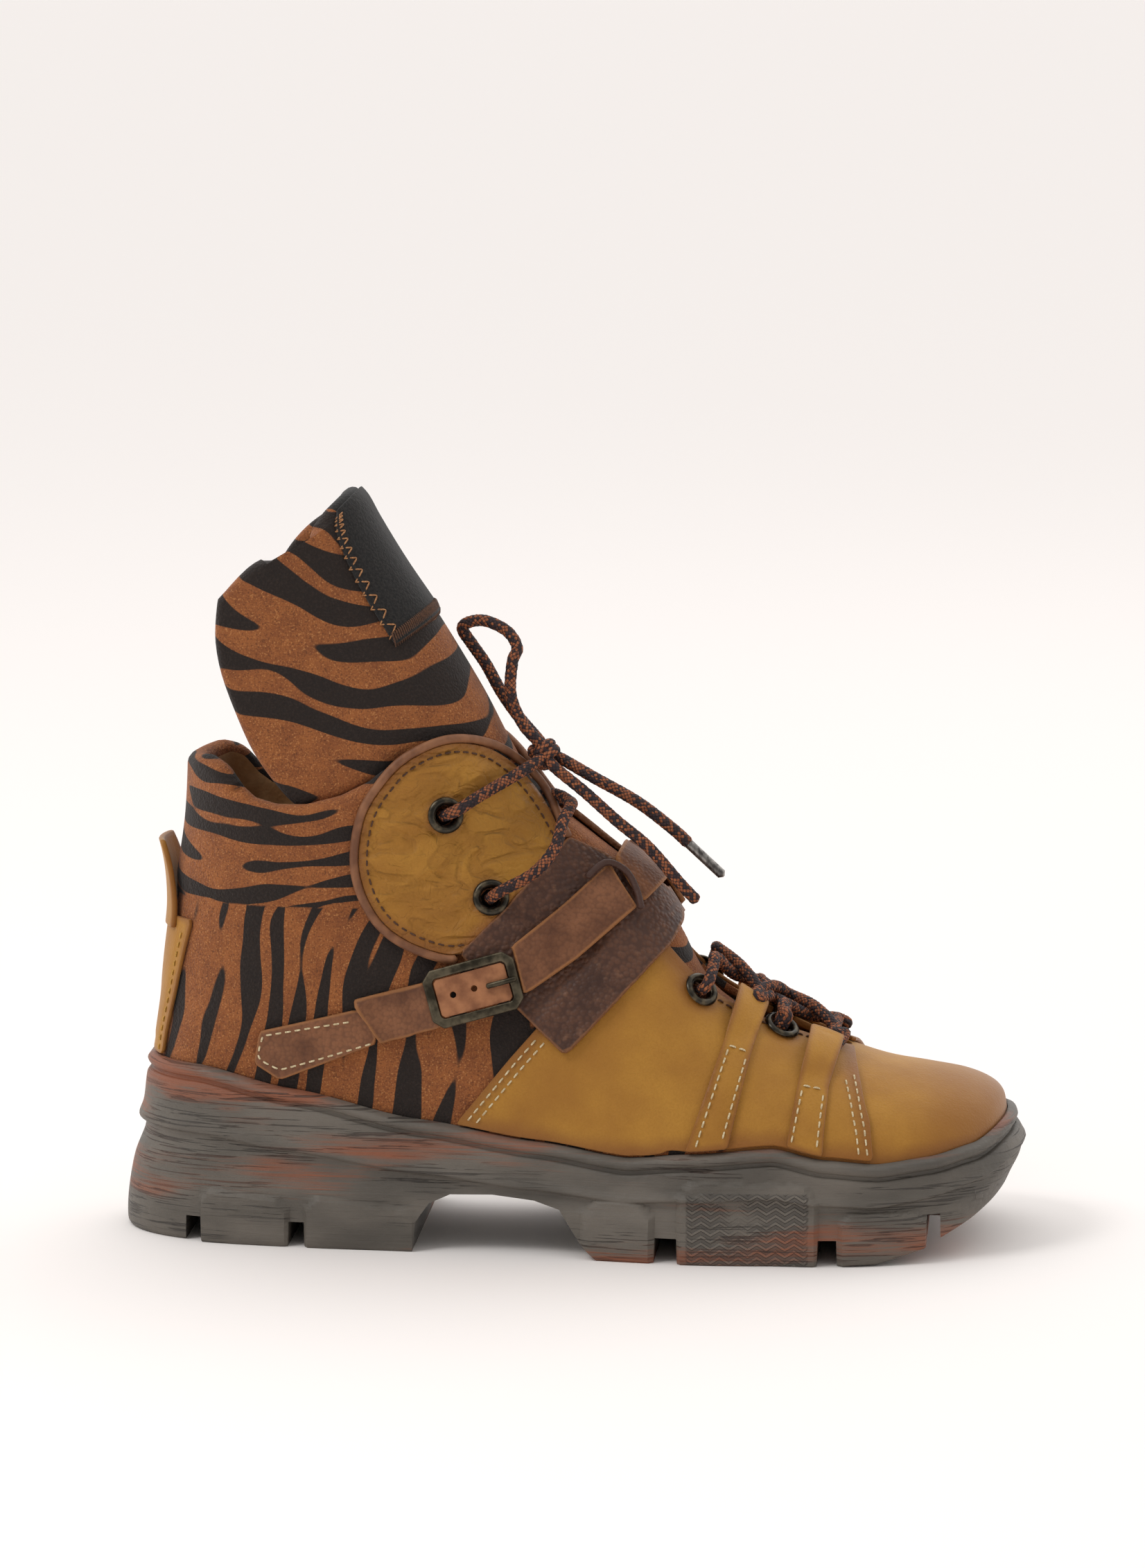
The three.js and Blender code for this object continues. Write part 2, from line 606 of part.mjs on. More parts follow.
function notchPrisms(before, after) {
  const from = before.to;
  const to = after.from;
  const ease = 0.1 * (to - from);
  const lift = heightAt('tread', to * LAST_LENGTH) / COLLAR_HEIGHT;
  const low = -0.1;
  const shape = (height) => {
    const top = lift + height / COLLAR_HEIGHT;
    return [[from, low], [from + ease, top], [to - ease, top], [to, low]];
  };
  const middle = wholePrism(shape(TREAD_DEPTH));
  const sides = [OUTER, INNER].map((side) => {
    const near = RIM.filter((p) => Math.abs(p.x - to * LAST_LENGTH) < 12);
    const edge = Math.max(...near.map((p) => side * p.y));
    return halfPrism(shape(NOTCH_HEIGHT), side, Math.max(4, edge - NOTCH_REACH));
  });
  return middle.add(sides[0]).add(sides[1]);
}

function treadGroove(from, to) {
  const half = CENTRE_GROOVE / 2;
  const top = TREAD_DEPTH / COLLAR_HEIGHT;
  return sidePrism([[from, -0.1], [from, top], [to, top], [to, -0.1]], -half, half);
}

// The bed: what the upper and insole stand in, above the bed's own height
const bedLine = (lift) => {
  const line = SOLE_HEIGHTS.map((row) => [row.at, row.bed + lift / COLLAR_HEIGHT]);
  return [...line, [1.2, 0.2], [1.2, 3], [-0.3, 3], [-0.3, 0.245]];
};
const overBed = (lift) => wholePrism(bedLine(lift));

let sole = soleForm(0);
const panels = LUGS.filter((lug) => lug.top > 0).map((lug) => wholePrism(lugPanel(lug)));
const panelForm = panels.reduce((sum, prism) => sum.add(prism));
sole = sole.add(soleForm(PANEL_RISE).intersect(panelForm));
LUGS.slice(1).forEach((lug, i) => {
  if (i + 1 !== HEEL_LUGS) sole = sole.subtract(notchPrisms(LUGS[i], lug));
});
sole = sole.subtract(wholePrism(ARCH.map(({ x, z }) => [x, (z * ARCH_HEIGHT) / COLLAR_HEIGHT])));
sole = sole.subtract(treadGroove(0.06, 0.29)).subtract(treadGroove(0.54, 0.9));
sole = sole.subtract(last(CLEARANCE).intersect(overBed(0)));
addSolid('sole', mainBody(sole), RUBBER);

// Upper: the last's face with its wall, open under the foot, at the throat and at the collar
const throatPlace = (share) => {
  const places = [...Array(400).keys()].map((i) => 0.05 + (i * 0.75) / 400);
  return places.reduce((best, p) => {
    const miss = Math.abs(lastFace(p, 0).x - share * LAST_LENGTH);
    return miss < best.miss ? { miss, place: p } : best;
  }, { miss: Infinity, place: 0 }).place;
};

function throatCut(grow) {
  const start = throatPlace(0.815);
  const rings = [];
  for (let j = 0; j <= 22; j += 1) {
    const f = j / 22;
    const place = start + (1 - start) * f;
    const round = Math.sqrt(Math.min(1, 0.12 + f * 7));
    const half = THROAT_HALF_WIDTH * (round + 0.55 * Math.max(0, f - 0.4)) + grow;
    const ridge = lastFace(place, 0);
    const back = lastFace(place, 1);
    const inward = back.sub(ridge).normalize();
    const out = ridge.clone().addScaledVector(inward, -12);
    const depth = THROAT_DEPTH * (0.45 + 0.55 * Math.min(1, f * 2));
    const deep = ridge.clone().addScaledVector(inward, depth);
    const y = ridge.y;
    rings.push([
      new THREE.Vector3(out.x, y - half, out.z), new THREE.Vector3(out.x, y + half, out.z),
      new THREE.Vector3(deep.x, y + half, deep.z), new THREE.Vector3(deep.x, y - half, deep.z),
    ]);
  }
  return skin(rings);
}

const collarCut = wholePrism(COLLAR_LINE);
const throat = throatCut(0);
const collarPad = layer(-COLLAR_PAD, COLLAR_PAD).intersect(wholePrism(COLLAR_SEAM));

// Round holes through upper and overlays where the eyelets sit
function eyeletHoles(side) {
  return EYELETS.map(({ x, z }) => {
    const radius = EYELET_BARREL / 2 + CLEARANCE;
    const bore = new THREE.CylinderGeometry(radius, radius, 16, 10);
    bore.rotateX(Math.PI / 2);
    bore.applyMatrix4(frameOnLast(x, z, side, 0));
    return solidOfGeometry(bore);
  }).reduce((sum, hole) => sum.add(hole));
}

const holes = eyeletHoles(OUTER).add(eyeletHoles(INNER));
let upper = layer(-UPPER_WALL, UPPER_WALL).add(collarPad);
upper = upper.intersect(overBed(CLEARANCE)).subtract(collarCut).subtract(throat).subtract(holes);
addSolid('upper', mainBody(upper), TIGER_SUEDE);

// Insole on the bed inside the upper
const insideUpper = last(-UPPER_WALL - CLEARANCE);
const insole = insideUpper.intersect(overBed(CLEARANCE)).subtract(overBed(CLEARANCE + INSOLE_THICK));
addSolid('insole', mainBody(insole), TAN_LEATHER);

// Tongue: a deep curved pad whose ridge runs up the front and far above the collar
function tongueFrame(place) {
  const at = place * (TONGUE.length - 1);
  const point = (a) => new THREE.Vector2(
    along(TONGUE, 'x', a) * LAST_LENGTH,
    along(TONGUE, 'z', a) * COLLAR_HEIGHT,
  );
  const ridge = point(at);
  const run = point(Math.min(at + 0.2, TONGUE.length - 1)).sub(point(Math.max(at - 0.2, 0))).normalize();
  const inward = new THREE.Vector2(-run.y, run.x);
  return {
    ridge,
    inward,
    depth: along(TONGUE, 'depth', at) * TONGUE_DEPTH,
    half: along(TONGUE, 'width', at) * TONGUE_HALF_WIDTH,
  };
}

function tonguePoint(place, turn, inset) {
  const { ridge, inward, depth, half } = tongueFrame(place);
  const swing = (Math.abs(turn) * Math.PI) / 2;
  const side = turn >= 0 ? OUTER : INNER;
  const power = 2 / TONGUE_SQUARE;
  const wide = Math.sin(swing) ** power;
  const deep = 1 - Math.max(0, Math.cos(swing)) ** power;
  const d = inset + (depth - inset) * deep;
  const y = side * (half - inset) * wide;
  return new THREE.Vector3(ridge.x + inward.x * d, y, ridge.y + inward.y * d);
}

function tongueForm(outset, inset, fromPlace, toPlace, stations, reach) {
  const rings = [];
  for (let j = 0; j <= stations; j += 1) {
    const place = fromPlace + ((toPlace - fromPlace) * j) / stations;
    const outside = [];
    const inside = [];
    for (let i = 0; i <= TONGUE_AROUND; i += 1) {
      const turn = reach * ((2 * i) / TONGUE_AROUND - 1);
      outside.push(tonguePoint(place, turn, outset));
      inside.push(tonguePoint(place, turn, inset));
    }
    rings.push([...outside, ...inside.reverse()]);
  }
  return skin(rings, ladderEnd);
}

const justOverCollar = COLLAR_LINE.slice(1, 18).reverse().map(([x, z]) => [x, z + 0.006]);
const underCollar = wholePrism([
  [-0.2, -0.1], [1.2, -0.1], [1.2, 0.845], [0.5, 0.845], ...justOverCollar, [-0.2, 1.0],
]);
const padRoom = layer(-COLLAR_PAD - CLEARANCE, COLLAR_PAD).intersect(wholePrism(COLLAR_SEAM));
const wallRoom = last(30).subtract(insideUpper).intersect(underCollar).subtract(throatCut(-CLEARANCE));
const lowRoom = wholePrism([
  [-0.2, -0.1], [1.2, -0.1], [1.2, 1.3], [0.62, 1.3], [0.44, 0.93], [-0.2, 0.93],
]);
let tongue = tongueForm(0, TONGUE_THICK, 0, 1, TONGUE_STATIONS, 1);
tongue = tongue.subtract(wallRoom).subtract(padRoom.intersect(underCollar));
tongue = tongue.subtract(lowRoom.subtract(last(0)));
addSolid('tongue', mainBody(tongue), TIGER_SUEDE);

// Patch over the top of the tongue's ridge, down both sides and over its upper edge
const patchFace = -CLEARANCE - PATCH_THICK;
const patch = tongueForm(patchFace, -CLEARANCE, PATCH_FROM, PATCH_TO, 5, PATCH_TURN);
addSolid('tongue_patch', mainBody(patch), BLACK_SUEDE);

// Room round an eyelet through whatever lies over the upper there
function eyeletRoom({ x, z }, side) {
  const radius = EYELET_DIAMETER / 2 + CLEARANCE;
  const room = new THREE.CylinderGeometry(radius, radius, 20, 10);
  room.rotateX(Math.PI / 2);
  room.applyMatrix4(frameOnLast(x, z, side, 0));
  return solidOfGeometry(room);
}

// Leather pieces over the upper, each cut between two larger forms of the last
function overlay(name, outline, side, on, thick, material, cuts = []) {
  let piece = layer(on, thick).intersect(halfPrism(outline, side, 3));
  cuts.forEach((cut) => {
    piece = piece.subtract(cut);
  });
  return addSolid(name, mainBody(piece), material);
}

const rimLine = SOLE_HEIGHTS.map((row) => [row.at, row.rim + LIP_GAP / COLLAR_HEIGHT]);
const overLip = wholePrism([...rimLine, [1.2, 0.3], [1.2, 3], [-0.3, 3], [-0.3, 0.37]]);
const clipToLip = last(40).subtract(overLip);
const bandOf = (side) => (side === OUTER ? BAND : INNER_BAND);
const bandRoom = (side) => halfPrism(growOutline(bandOf(side), 0.5), side);
const flapOutline = roundOutline(FLAP, 18);
const openThroat = throatCut(1);
const tongueRoom = tongueForm(-CLEARANCE, TONGUE_THICK, 0, 1, TONGUE_STATIONS, 1);

const beyondThroat = sidePrism(
  [[0.5, -0.1], [0.5, 1.2], [1, 1.2], [1, -0.1]], -THROAT_HALF_WIDTH, THROAT_HALF_WIDTH,
);

SIDES.forEach(([side, word]) => {
  const flapped = halfPrism(growOutline(flapOutline, 0.6 + PIPING_WIDTH), side);
  const quarterCuts = [clipToLip, openThroat, flapped, holes];
  overlay(`quarter_${word}`, QUARTER, side, ON_UPPER, QUARTER_THICK, NUBUCK, quarterCuts);
  const flapCuts = [bandRoom(side), holes, tongueRoom];
  overlay(`ankle_flap_${word}`, flapOutline, side, ON_UPPER, FLAP_THICK, NUBUCK, flapCuts);
  const lowEyelet = eyeletRoom(EYELETS[1], side);
  overlay(`instep_band_${word}`, bandOf(side), side, ON_QUARTER, BAND_THICK, BROWN_LEATHER, [lowEyelet]);
  LACE_LOOPS.forEach((outline, i) => {
    const name = `lace_loop_strap_${i + 1}_${word}`;
    overlay(name, outline, side, ON_QUARTER, QUARTER_THICK, NUBUCK, [clipToLip, beyondThroat]);
  });
});

// Piping round each flap, standing a little proud of it
SIDES.forEach(([side, word]) => {
  const flapSide = halfPrism(growOutline(flapOutline, 0.3), side, 2);
  const pipingSide = halfPrism(growOutline(flapOutline, 0.3 + PIPING_WIDTH), side, 3);
  let bead = layer(ON_UPPER, FLAP_THICK + PIPING_RISE).intersect(pipingSide).subtract(flapSide);
  bead = bead.subtract(bandRoom(side)).subtract(holes).subtract(tongueRoom);
  addSolid(`flap_piping_${word}`, mainBody(bead), TAN_LEATHER);
});

// Backstay strip up the heel and the pull tab that stands off its top
const backShape = new THREE.Shape(BACKSTAY.map(([y, z]) => new THREE.Vector2(y, z * COLLAR_HEIGHT)));
const backGeometry = new THREE.ExtrudeGeometry(backShape, { depth: 60, bevelEnabled: false });
backGeometry.rotateX(Math.PI / 2);
backGeometry.rotateZ(Math.PI / 2);
backGeometry.translate(-20, 0, 0);
const backPrism = solidOfGeometry(backGeometry);
const strip = layer(ON_UPPER, QUARTER_THICK).intersect(backPrism).subtract(clipToLip);

function backOf(height) {
  let low = heelPlace();
  let high = 1;
  for (let i = 0; i < 30; i += 1) {
    const place = (low + high) / 2;
    if (lastFace(place, 1).z < height) low = place;
    else high = place;
  }
  return lastFace(low, 1).x;
}

function pullTab() {
  const base = BACKSTAY[3][1] * COLLAR_HEIGHT - 3;
  const round = 0.33 * BALL_WIDTH;
  const rings = [];
  for (let j = 0; j <= 5; j += 1) {
    const f = j / 5;
    const z = base + f * (PULL_TAB_HEIGHT + 3);
    const out = ON_UPPER + 0.3 + PULL_TAB_LEAN * f * f;
    const half = (PULL_TAB_WIDTH / 2) * (1 - 0.35 * f * f);
    const arc = (radius, sign) => [...Array(7).keys()].map((i) => {
      const angle = (sign * (i / 3 - 1) * half) / round;
      const x = backOf(z) - out + round - radius * Math.cos(angle);
      return new THREE.Vector3(x, radius * Math.sin(angle), z);
    });
    rings.push([...arc(round, 1), ...arc(round + STRAP_THICK, -1)]);
  }
  return skin(rings, ladderEnd);
}
addSolid('backstay', mainBody(strip.add(pullTab())), NUBUCK);

// Buckled strap: a stitched base, the tail, the buckle and the strap that runs up over the instep band
function octagon(long, wide, corner) {
  const [a, b] = [long / 2, wide / 2];
  const corners = [
    [-a, -b + corner], [-a + corner, -b], [a - corner, -b], [a, -b + corner],
    [a, b - corner], [a - corner, b], [-a + corner, b], [-a, b - corner],
  ];
  return corners.map(([x, y]) => new THREE.Vector2(x, y));
}

function plateOnBuckle(shape, from, thick) {
  const geometry = new THREE.ExtrudeGeometry(shape, { depth: thick, bevelEnabled: false });
  geometry.applyMatrix4(frameOnLast(BUCKLE.x, BUCKLE.z, OUTER, from, BUCKLE.turn));
  return geometry;
}

const grownBuckle = octagon(BUCKLE_LENGTH + 2 * CLEARANCE, BUCKLE_WIDTH + 2 * CLEARANCE, BUCKLE_BAR);
const buckleRoom = solidOfGeometry(plateOnBuckle(new THREE.Shape(grownBuckle), -10, 30));
const frameSeat = ON_BASE + STRAP_THICK + CLEARANCE;
const frameShape = new THREE.Shape(octagon(BUCKLE_LENGTH, BUCKLE_WIDTH, BUCKLE_BAR));
const windowLength = BUCKLE_LENGTH - 2 * BUCKLE_BAR;
const windowWidth = BUCKLE_WIDTH - 2 * BUCKLE_BAR;
frameShape.holes.push(new THREE.Path(octagon(windowLength, windowWidth, 1).reverse()));
const lowBuckle = plateOnBuckle(new THREE.Shape(grownBuckle), frameSeat - CLEARANCE, 30);
const lowBuckleRoom = solidOfGeometry(lowBuckle);

overlay('strap_base', STRAP_BASE, OUTER, ON_UPPER, STRAP_THICK, BROWN_LEATHER);
const tailCuts = [lowBuckleRoom, bandRoom(OUTER)];
overlay('strap_tail', STRAP_TAIL, OUTER, ON_BASE, STRAP_THICK, BROWN_LEATHER, tailCuts);
overlay('buckled_strap', BUCKLED_STRAP, OUTER, ON_BAND, STRAP_THICK, BROWN_LEATHER, [buckleRoom]);
addPiece('buckle_frame', plateOnBuckle(frameShape, frameSeat, BUCKLE_THICK), OLD_BRASS);
const tipShape = new THREE.Shape(octagon(windowLength - 2 * CLEARANCE, windowWidth - 2 * CLEARANCE, 1));
addPiece('strap_tip', plateOnBuckle(tipShape, frameSeat, STRAP_THICK), TAN_LEATHER);
const prongLength = BUCKLE_LENGTH / 2 - BUCKLE_BAR / 2;
const prong = new THREE.CylinderGeometry(PRONG_DIAMETER / 2, PRONG_DIAMETER / 2, prongLength, 8);
prong.rotateZ(Math.PI / 2);
prong.translate(prongLength / 2 + 1, 0, PRONG_DIAMETER / 2 + CLEARANCE);
prong.applyMatrix4(frameOnLast(BUCKLE.x, BUCKLE.z, OUTER, frameSeat + BUCKLE_THICK, BUCKLE.turn));
addPiece('buckle_prong', prong, OLD_BRASS);

// Narrow strap that crosses the ridge of the instep and runs down the inner side
const crossing = sidePrism(CROSS_STRAP, -WIDE, 0).add(sidePrism(INNER_STRAP, 0, WIDE));
const crossForm = crossing.subtract(halfPrism(growOutline(BUCKLED_STRAP, 0.4), OUTER, 3));
const crossStrap = layer(ON_BAND, STRAP_THICK).intersect(crossForm).subtract(clipToLip);
addSolid('cross_strap', mainBody(crossStrap), BROWN_LEATHER);

// Round tubes for laces and thongs
function tube(points, diameter, steps, sides = 6) {
  const curve = new THREE.CatmullRomCurve3(points, false, 'centripetal');
  const shape = new THREE.Shape();
  for (let i = 0; i < sides; i += 1) {
    const angle = (2 * Math.PI * i) / sides;
    const at = [(Math.cos(angle) * diameter) / 2, (Math.sin(angle) * diameter) / 2];
    if (i === 0) shape.moveTo(...at);
    else shape.lineTo(...at);
  }
  shape.closePath();
  return new THREE.ExtrudeGeometry(shape, { steps, bevelEnabled: false, extrudePath: curve });
}

const tiePoints = TIE_ROUTE.map(([x, z]) => {
  const { place, turn } = findOnLast(x, z, OUTER);
  return offsetFace(place, turn, ON_BAND + STRAP_THICK + CLEARANCE + TIE_DIAMETER / 2 - 0.3);
});
addPiece('tie_thong', tube(tiePoints, TIE_DIAMETER, 8, 6), BROWN_LEATHER);

// Eyelets: a flange outside and a barrel through the wall
SIDES.forEach(([side, word]) => {
  EYELETS.forEach(({ name, x, z, on }) => {
    const foot = -(on + 0.7 * UPPER_WALL);
    const seat = 0.5;
    const profile = [
      [EYELET_BORE / 2, foot], [EYELET_BARREL / 2, foot],
      [EYELET_BARREL / 2, seat], [EYELET_DIAMETER / 2, seat],
      [EYELET_DIAMETER / 2, seat + EYELET_RIM], [EYELET_BORE / 2, seat + EYELET_RIM],
      [EYELET_BORE / 2, foot],
    ].map(([r, h]) => new THREE.Vector2(r, h));
    const ring = new THREE.LatheGeometry(profile, 10);
    ring.rotateX(Math.PI / 2);
    ring.applyMatrix4(frameOnLast(x, z, side, on));
    addPiece(`eyelet_${name}_${word}`, ring, GUNMETAL);
  });
});

// Lace crossings over the lower throat, joined where they cross and at the edges
function edgePoint(share, side, lift) {
  const place = throatPlace(share);
  return offsetFace(place, -side * EDGE_TURN, lift);
}

function crossOver(low, high, side) {
  const from = edgePoint(low, side, LACE_LIFT);
  const to = edgePoint(high, -side, LACE_LIFT);
  const middle = offsetFace(throatPlace((low + high) / 2), 0, LACE_LIFT - 0.8);
  return solidOfGeometry(tube([from, middle, to], LACE_DIAMETER, 4));
}

let crossings = crossOver(LACE_EDGES[0], LACE_EDGES[0], OUTER);
for (let i = 0; i + 1 < LACE_EDGES.length; i += 1) {
  [OUTER, INNER].forEach((side) => {
    crossings = crossings.add(crossOver(LACE_EDGES[i], LACE_EDGES[i + 1], side));
  });
}
addSolid('lace_crossings', mainBody(crossings), LACE);

// Tied stretches of the lace: strands to the knot, the knot, its loop and its two ends
const fromMiddle = ([x, y, z]) => new THREE.Vector3(x + TIED_MIDDLE, y, z);
SIDES.forEach(([side, word]) => {
  const strand = STRAND_ROUTE.map(([x, z]) => {
    const { place, turn } = findOnLast(x, z, side);
    return offsetFace(place, turn, ON_UPPER + FLAP_THICK + STRAND_LIFT);
  });
  addPiece(`lace_strand_${word}`, tube([...strand, fromMiddle(STRAND_ENDS[word])], LACE_DIAMETER, 8), LACE);
});
const knot = new THREE.SphereGeometry(KNOT_DIAMETER / 2, 8, 6);
knot.translate(...fromMiddle(KNOT_AT).toArray());
addPiece('lace_knot', knot, LACE);
addPiece('lace_loop', tube(LOOP_ROUTE.map(fromMiddle), LACE_DIAMETER, 20), LACE);
END_ROUTES.forEach((route, i) => {
  addPiece(`lace_end_${i + 1}`, tube(route.map(fromMiddle), LACE_DIAMETER, 8), LACE);
});
const endTip = fromMiddle(END_ROUTES[0][4]);
const endRun = endTip.clone().sub(fromMiddle(END_ROUTES[0][3])).normalize();
const aglet = new THREE.CylinderGeometry(AGLET_DIAMETER / 2, AGLET_DIAMETER / 2, AGLET_LENGTH, 8);
aglet.applyQuaternion(new THREE.Quaternion().setFromUnitVectors(new THREE.Vector3(0, 1, 0), endRun));
const agletMiddle = endTip.clone().addScaledVector(endRun, AGLET_LENGTH / 2 + CLEARANCE);
aglet.translate(agletMiddle.x, agletMiddle.y, agletMiddle.z);
addPiece('lace_aglet', aglet, AGLET);

// The origin goes under the middle of the shoe, on the ground
const bounds = new THREE.Box3().setFromObject(shoe);
shoe.position.set(-(bounds.min.x + bounds.max.x) / 2, -(bounds.min.y + bounds.max.y) / 2, 0);
shoe.updateMatrixWorld(true);

export default shoe;
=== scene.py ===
# A lace-up ankle-high sneaker boot, right shoe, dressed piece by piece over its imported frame.
# Sizes are in millimetres and are turned into metres where a mesh is made.
import math

import bmesh
import bpy
import numpy as np
from mathutils import Matrix, Vector
from mathutils.bvhtree import BVHTree


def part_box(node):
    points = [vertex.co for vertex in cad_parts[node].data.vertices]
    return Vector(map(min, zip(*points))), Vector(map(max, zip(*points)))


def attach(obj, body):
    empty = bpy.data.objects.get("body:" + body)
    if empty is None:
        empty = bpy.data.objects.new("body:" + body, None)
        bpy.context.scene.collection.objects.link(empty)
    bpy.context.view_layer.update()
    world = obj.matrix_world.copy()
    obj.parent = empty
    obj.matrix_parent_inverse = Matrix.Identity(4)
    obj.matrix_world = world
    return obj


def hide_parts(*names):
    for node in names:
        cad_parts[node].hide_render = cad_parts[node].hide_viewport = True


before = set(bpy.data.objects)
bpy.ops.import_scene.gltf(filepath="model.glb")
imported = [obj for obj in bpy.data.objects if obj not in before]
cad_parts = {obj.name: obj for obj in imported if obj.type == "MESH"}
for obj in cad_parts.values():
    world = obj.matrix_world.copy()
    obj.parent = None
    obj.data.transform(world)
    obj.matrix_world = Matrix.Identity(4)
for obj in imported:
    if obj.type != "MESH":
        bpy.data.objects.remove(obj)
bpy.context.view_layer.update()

# Camera: a long lens a little above the outer side and a little towards the toe.
# It aims at the middle of the shoe's height and keeps the photo's whole frame.
MM = 0.001
FILM_HEIGHT = 36
LENS = 150
CAMERA_AZIMUTH = math.radians(4.5)
CAMERA_ELEVATION = math.radians(9)
CAMERA_DISTANCE = 2.102
AIM = Vector((-0.001, 0.001, 0.145))

away = Vector((
    math.sin(CAMERA_AZIMUTH) * math.cos(CAMERA_ELEVATION),
    -math.cos(CAMERA_AZIMUTH) * math.cos(CAMERA_ELEVATION),
    math.sin(CAMERA_ELEVATION),
))
bpy.ops.object.camera_add(location=AIM + away * CAMERA_DISTANCE)
camera = bpy.context.object
camera.rotation_euler = (-away).to_track_quat("-Z", "Y").to_euler()
camera.data.lens = LENS
camera.data.sensor_fit = "VERTICAL"
camera.data.sensor_height = FILM_HEIGHT
bpy.context.scene.camera = camera
bpy.context.scene.view_settings.view_transform = "Standard"


# Lace: one round braided cord of dark yarn with orange-tan flecks, four millimetres thick.
# Above the top eyelets it is tied once, with one standing loop and two short free ends.
LACE_THICK = 4
KNOT_AT = np.array([-11.2, -6, 155.8])
LOOP_ROUTE = [
    (-13.9, -7.3, 160.1), (-18.6, -7, 165.6), (-22.4, -6, 174.6), (-22, -4.6, 185),
    (-20.6, -3, 189.4), (-23.9, -1, 194.4), (-31, 1.6, 197.4), (-36.6, 3, 196.8),
    (-38.8, 3.8, 194.4), (-35.8, 4.6, 189.4), (-31.4, 4.8, 183), (-26.4, 4, 174.2),
    (-20.6, 1.4, 166.6), (-13.6, -2.5, 159.4),
]
END_ROUTES = [
    [(-6.3, -6.3, 154.2), (4.6, -9, 148.6), (18.6, -10, 141), (30, -11, 132.6), (35.4, -11, 127.6)],
    [(-8.3, -10.5, 152.3), (2, -13, 144.4), (12.4, -16, 135.8),
     (22.6, -18, 127.8), (33, -20, 116.4), (38.6, -20, 110.6)],
]
AGLET_LENGTH = 15
AGLET_THICK = 3.2
BRAID_ROUND = 8
BRAID_RISE = 1.5
ROPE_SIDES = 20
ROPE_STEP = 0.6

knot_low, knot_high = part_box("lace_knot")
SHIFT = (np.array(knot_low) + np.array(knot_high)) / 2 / MM - KNOT_AT
SHIFT[2] = 0


def along(rows, at):
    """Smooth value of a table's rows at places between them."""
    rows = np.asarray(rows, float)
    at = np.asarray(at, float)
    last = len(rows) - 1
    low = np.clip(np.floor(at).astype(int), 0, last - 1)
    f = (at - low).reshape(at.shape + (1,) * (rows.ndim - 1))
    before, start = rows[np.clip(low - 1, 0, last)], rows[low]
    end, after = rows[low + 1], rows[np.clip(low + 2, 0, last)]
    slope_start, slope_end = (end - before) / 2, (after - start) / 2
    f2, f3 = f * f, f * f * f
    return ((2 * f3 - 3 * f2 + 1) * start + (f3 - 2 * f2 + f) * slope_start
            + (3 * f2 - 2 * f3) * end + (f3 - f2) * slope_end)


def evenly(route, step, closed=False):
    """Points a step apart on the smooth curve through a route."""
    route = np.asarray(route, float)
    if closed:
        route = np.vstack([route[-2:], route, route[:3]])
    fine = along(route, np.linspace(0, len(route) - 1, 24 * len(route)))
    if closed:
        fine = fine[48 + 24: -48]
    gone = np.concatenate([[0], np.cumsum(np.linalg.norm(np.diff(fine, axis=0), axis=1))])
    count = max(2, int(round(gone[-1] / step)))
    marks = np.linspace(0, gone[-1], count + 1)
    return np.stack([np.interp(marks, gone, fine[:, k]) for k in range(3)], axis=1)


def unit(v):
    return v / np.maximum(np.linalg.norm(v, axis=-1, keepdims=True), 1e-9)


def new_mesh(name, points, faces, smooth=True):
    """Mesh object whose points are given in millimetres."""
    data = bpy.data.meshes.new(name)
    data.from_pydata([tuple(p) for p in np.asarray(points) * MM], [], faces)
    data.update()
    piece = bpy.data.objects.new(name, data)
    bpy.context.collection.objects.link(piece)
    if smooth:
        data.polygons.foreach_set("use_smooth", [True] * len(data.polygons))
    return piece


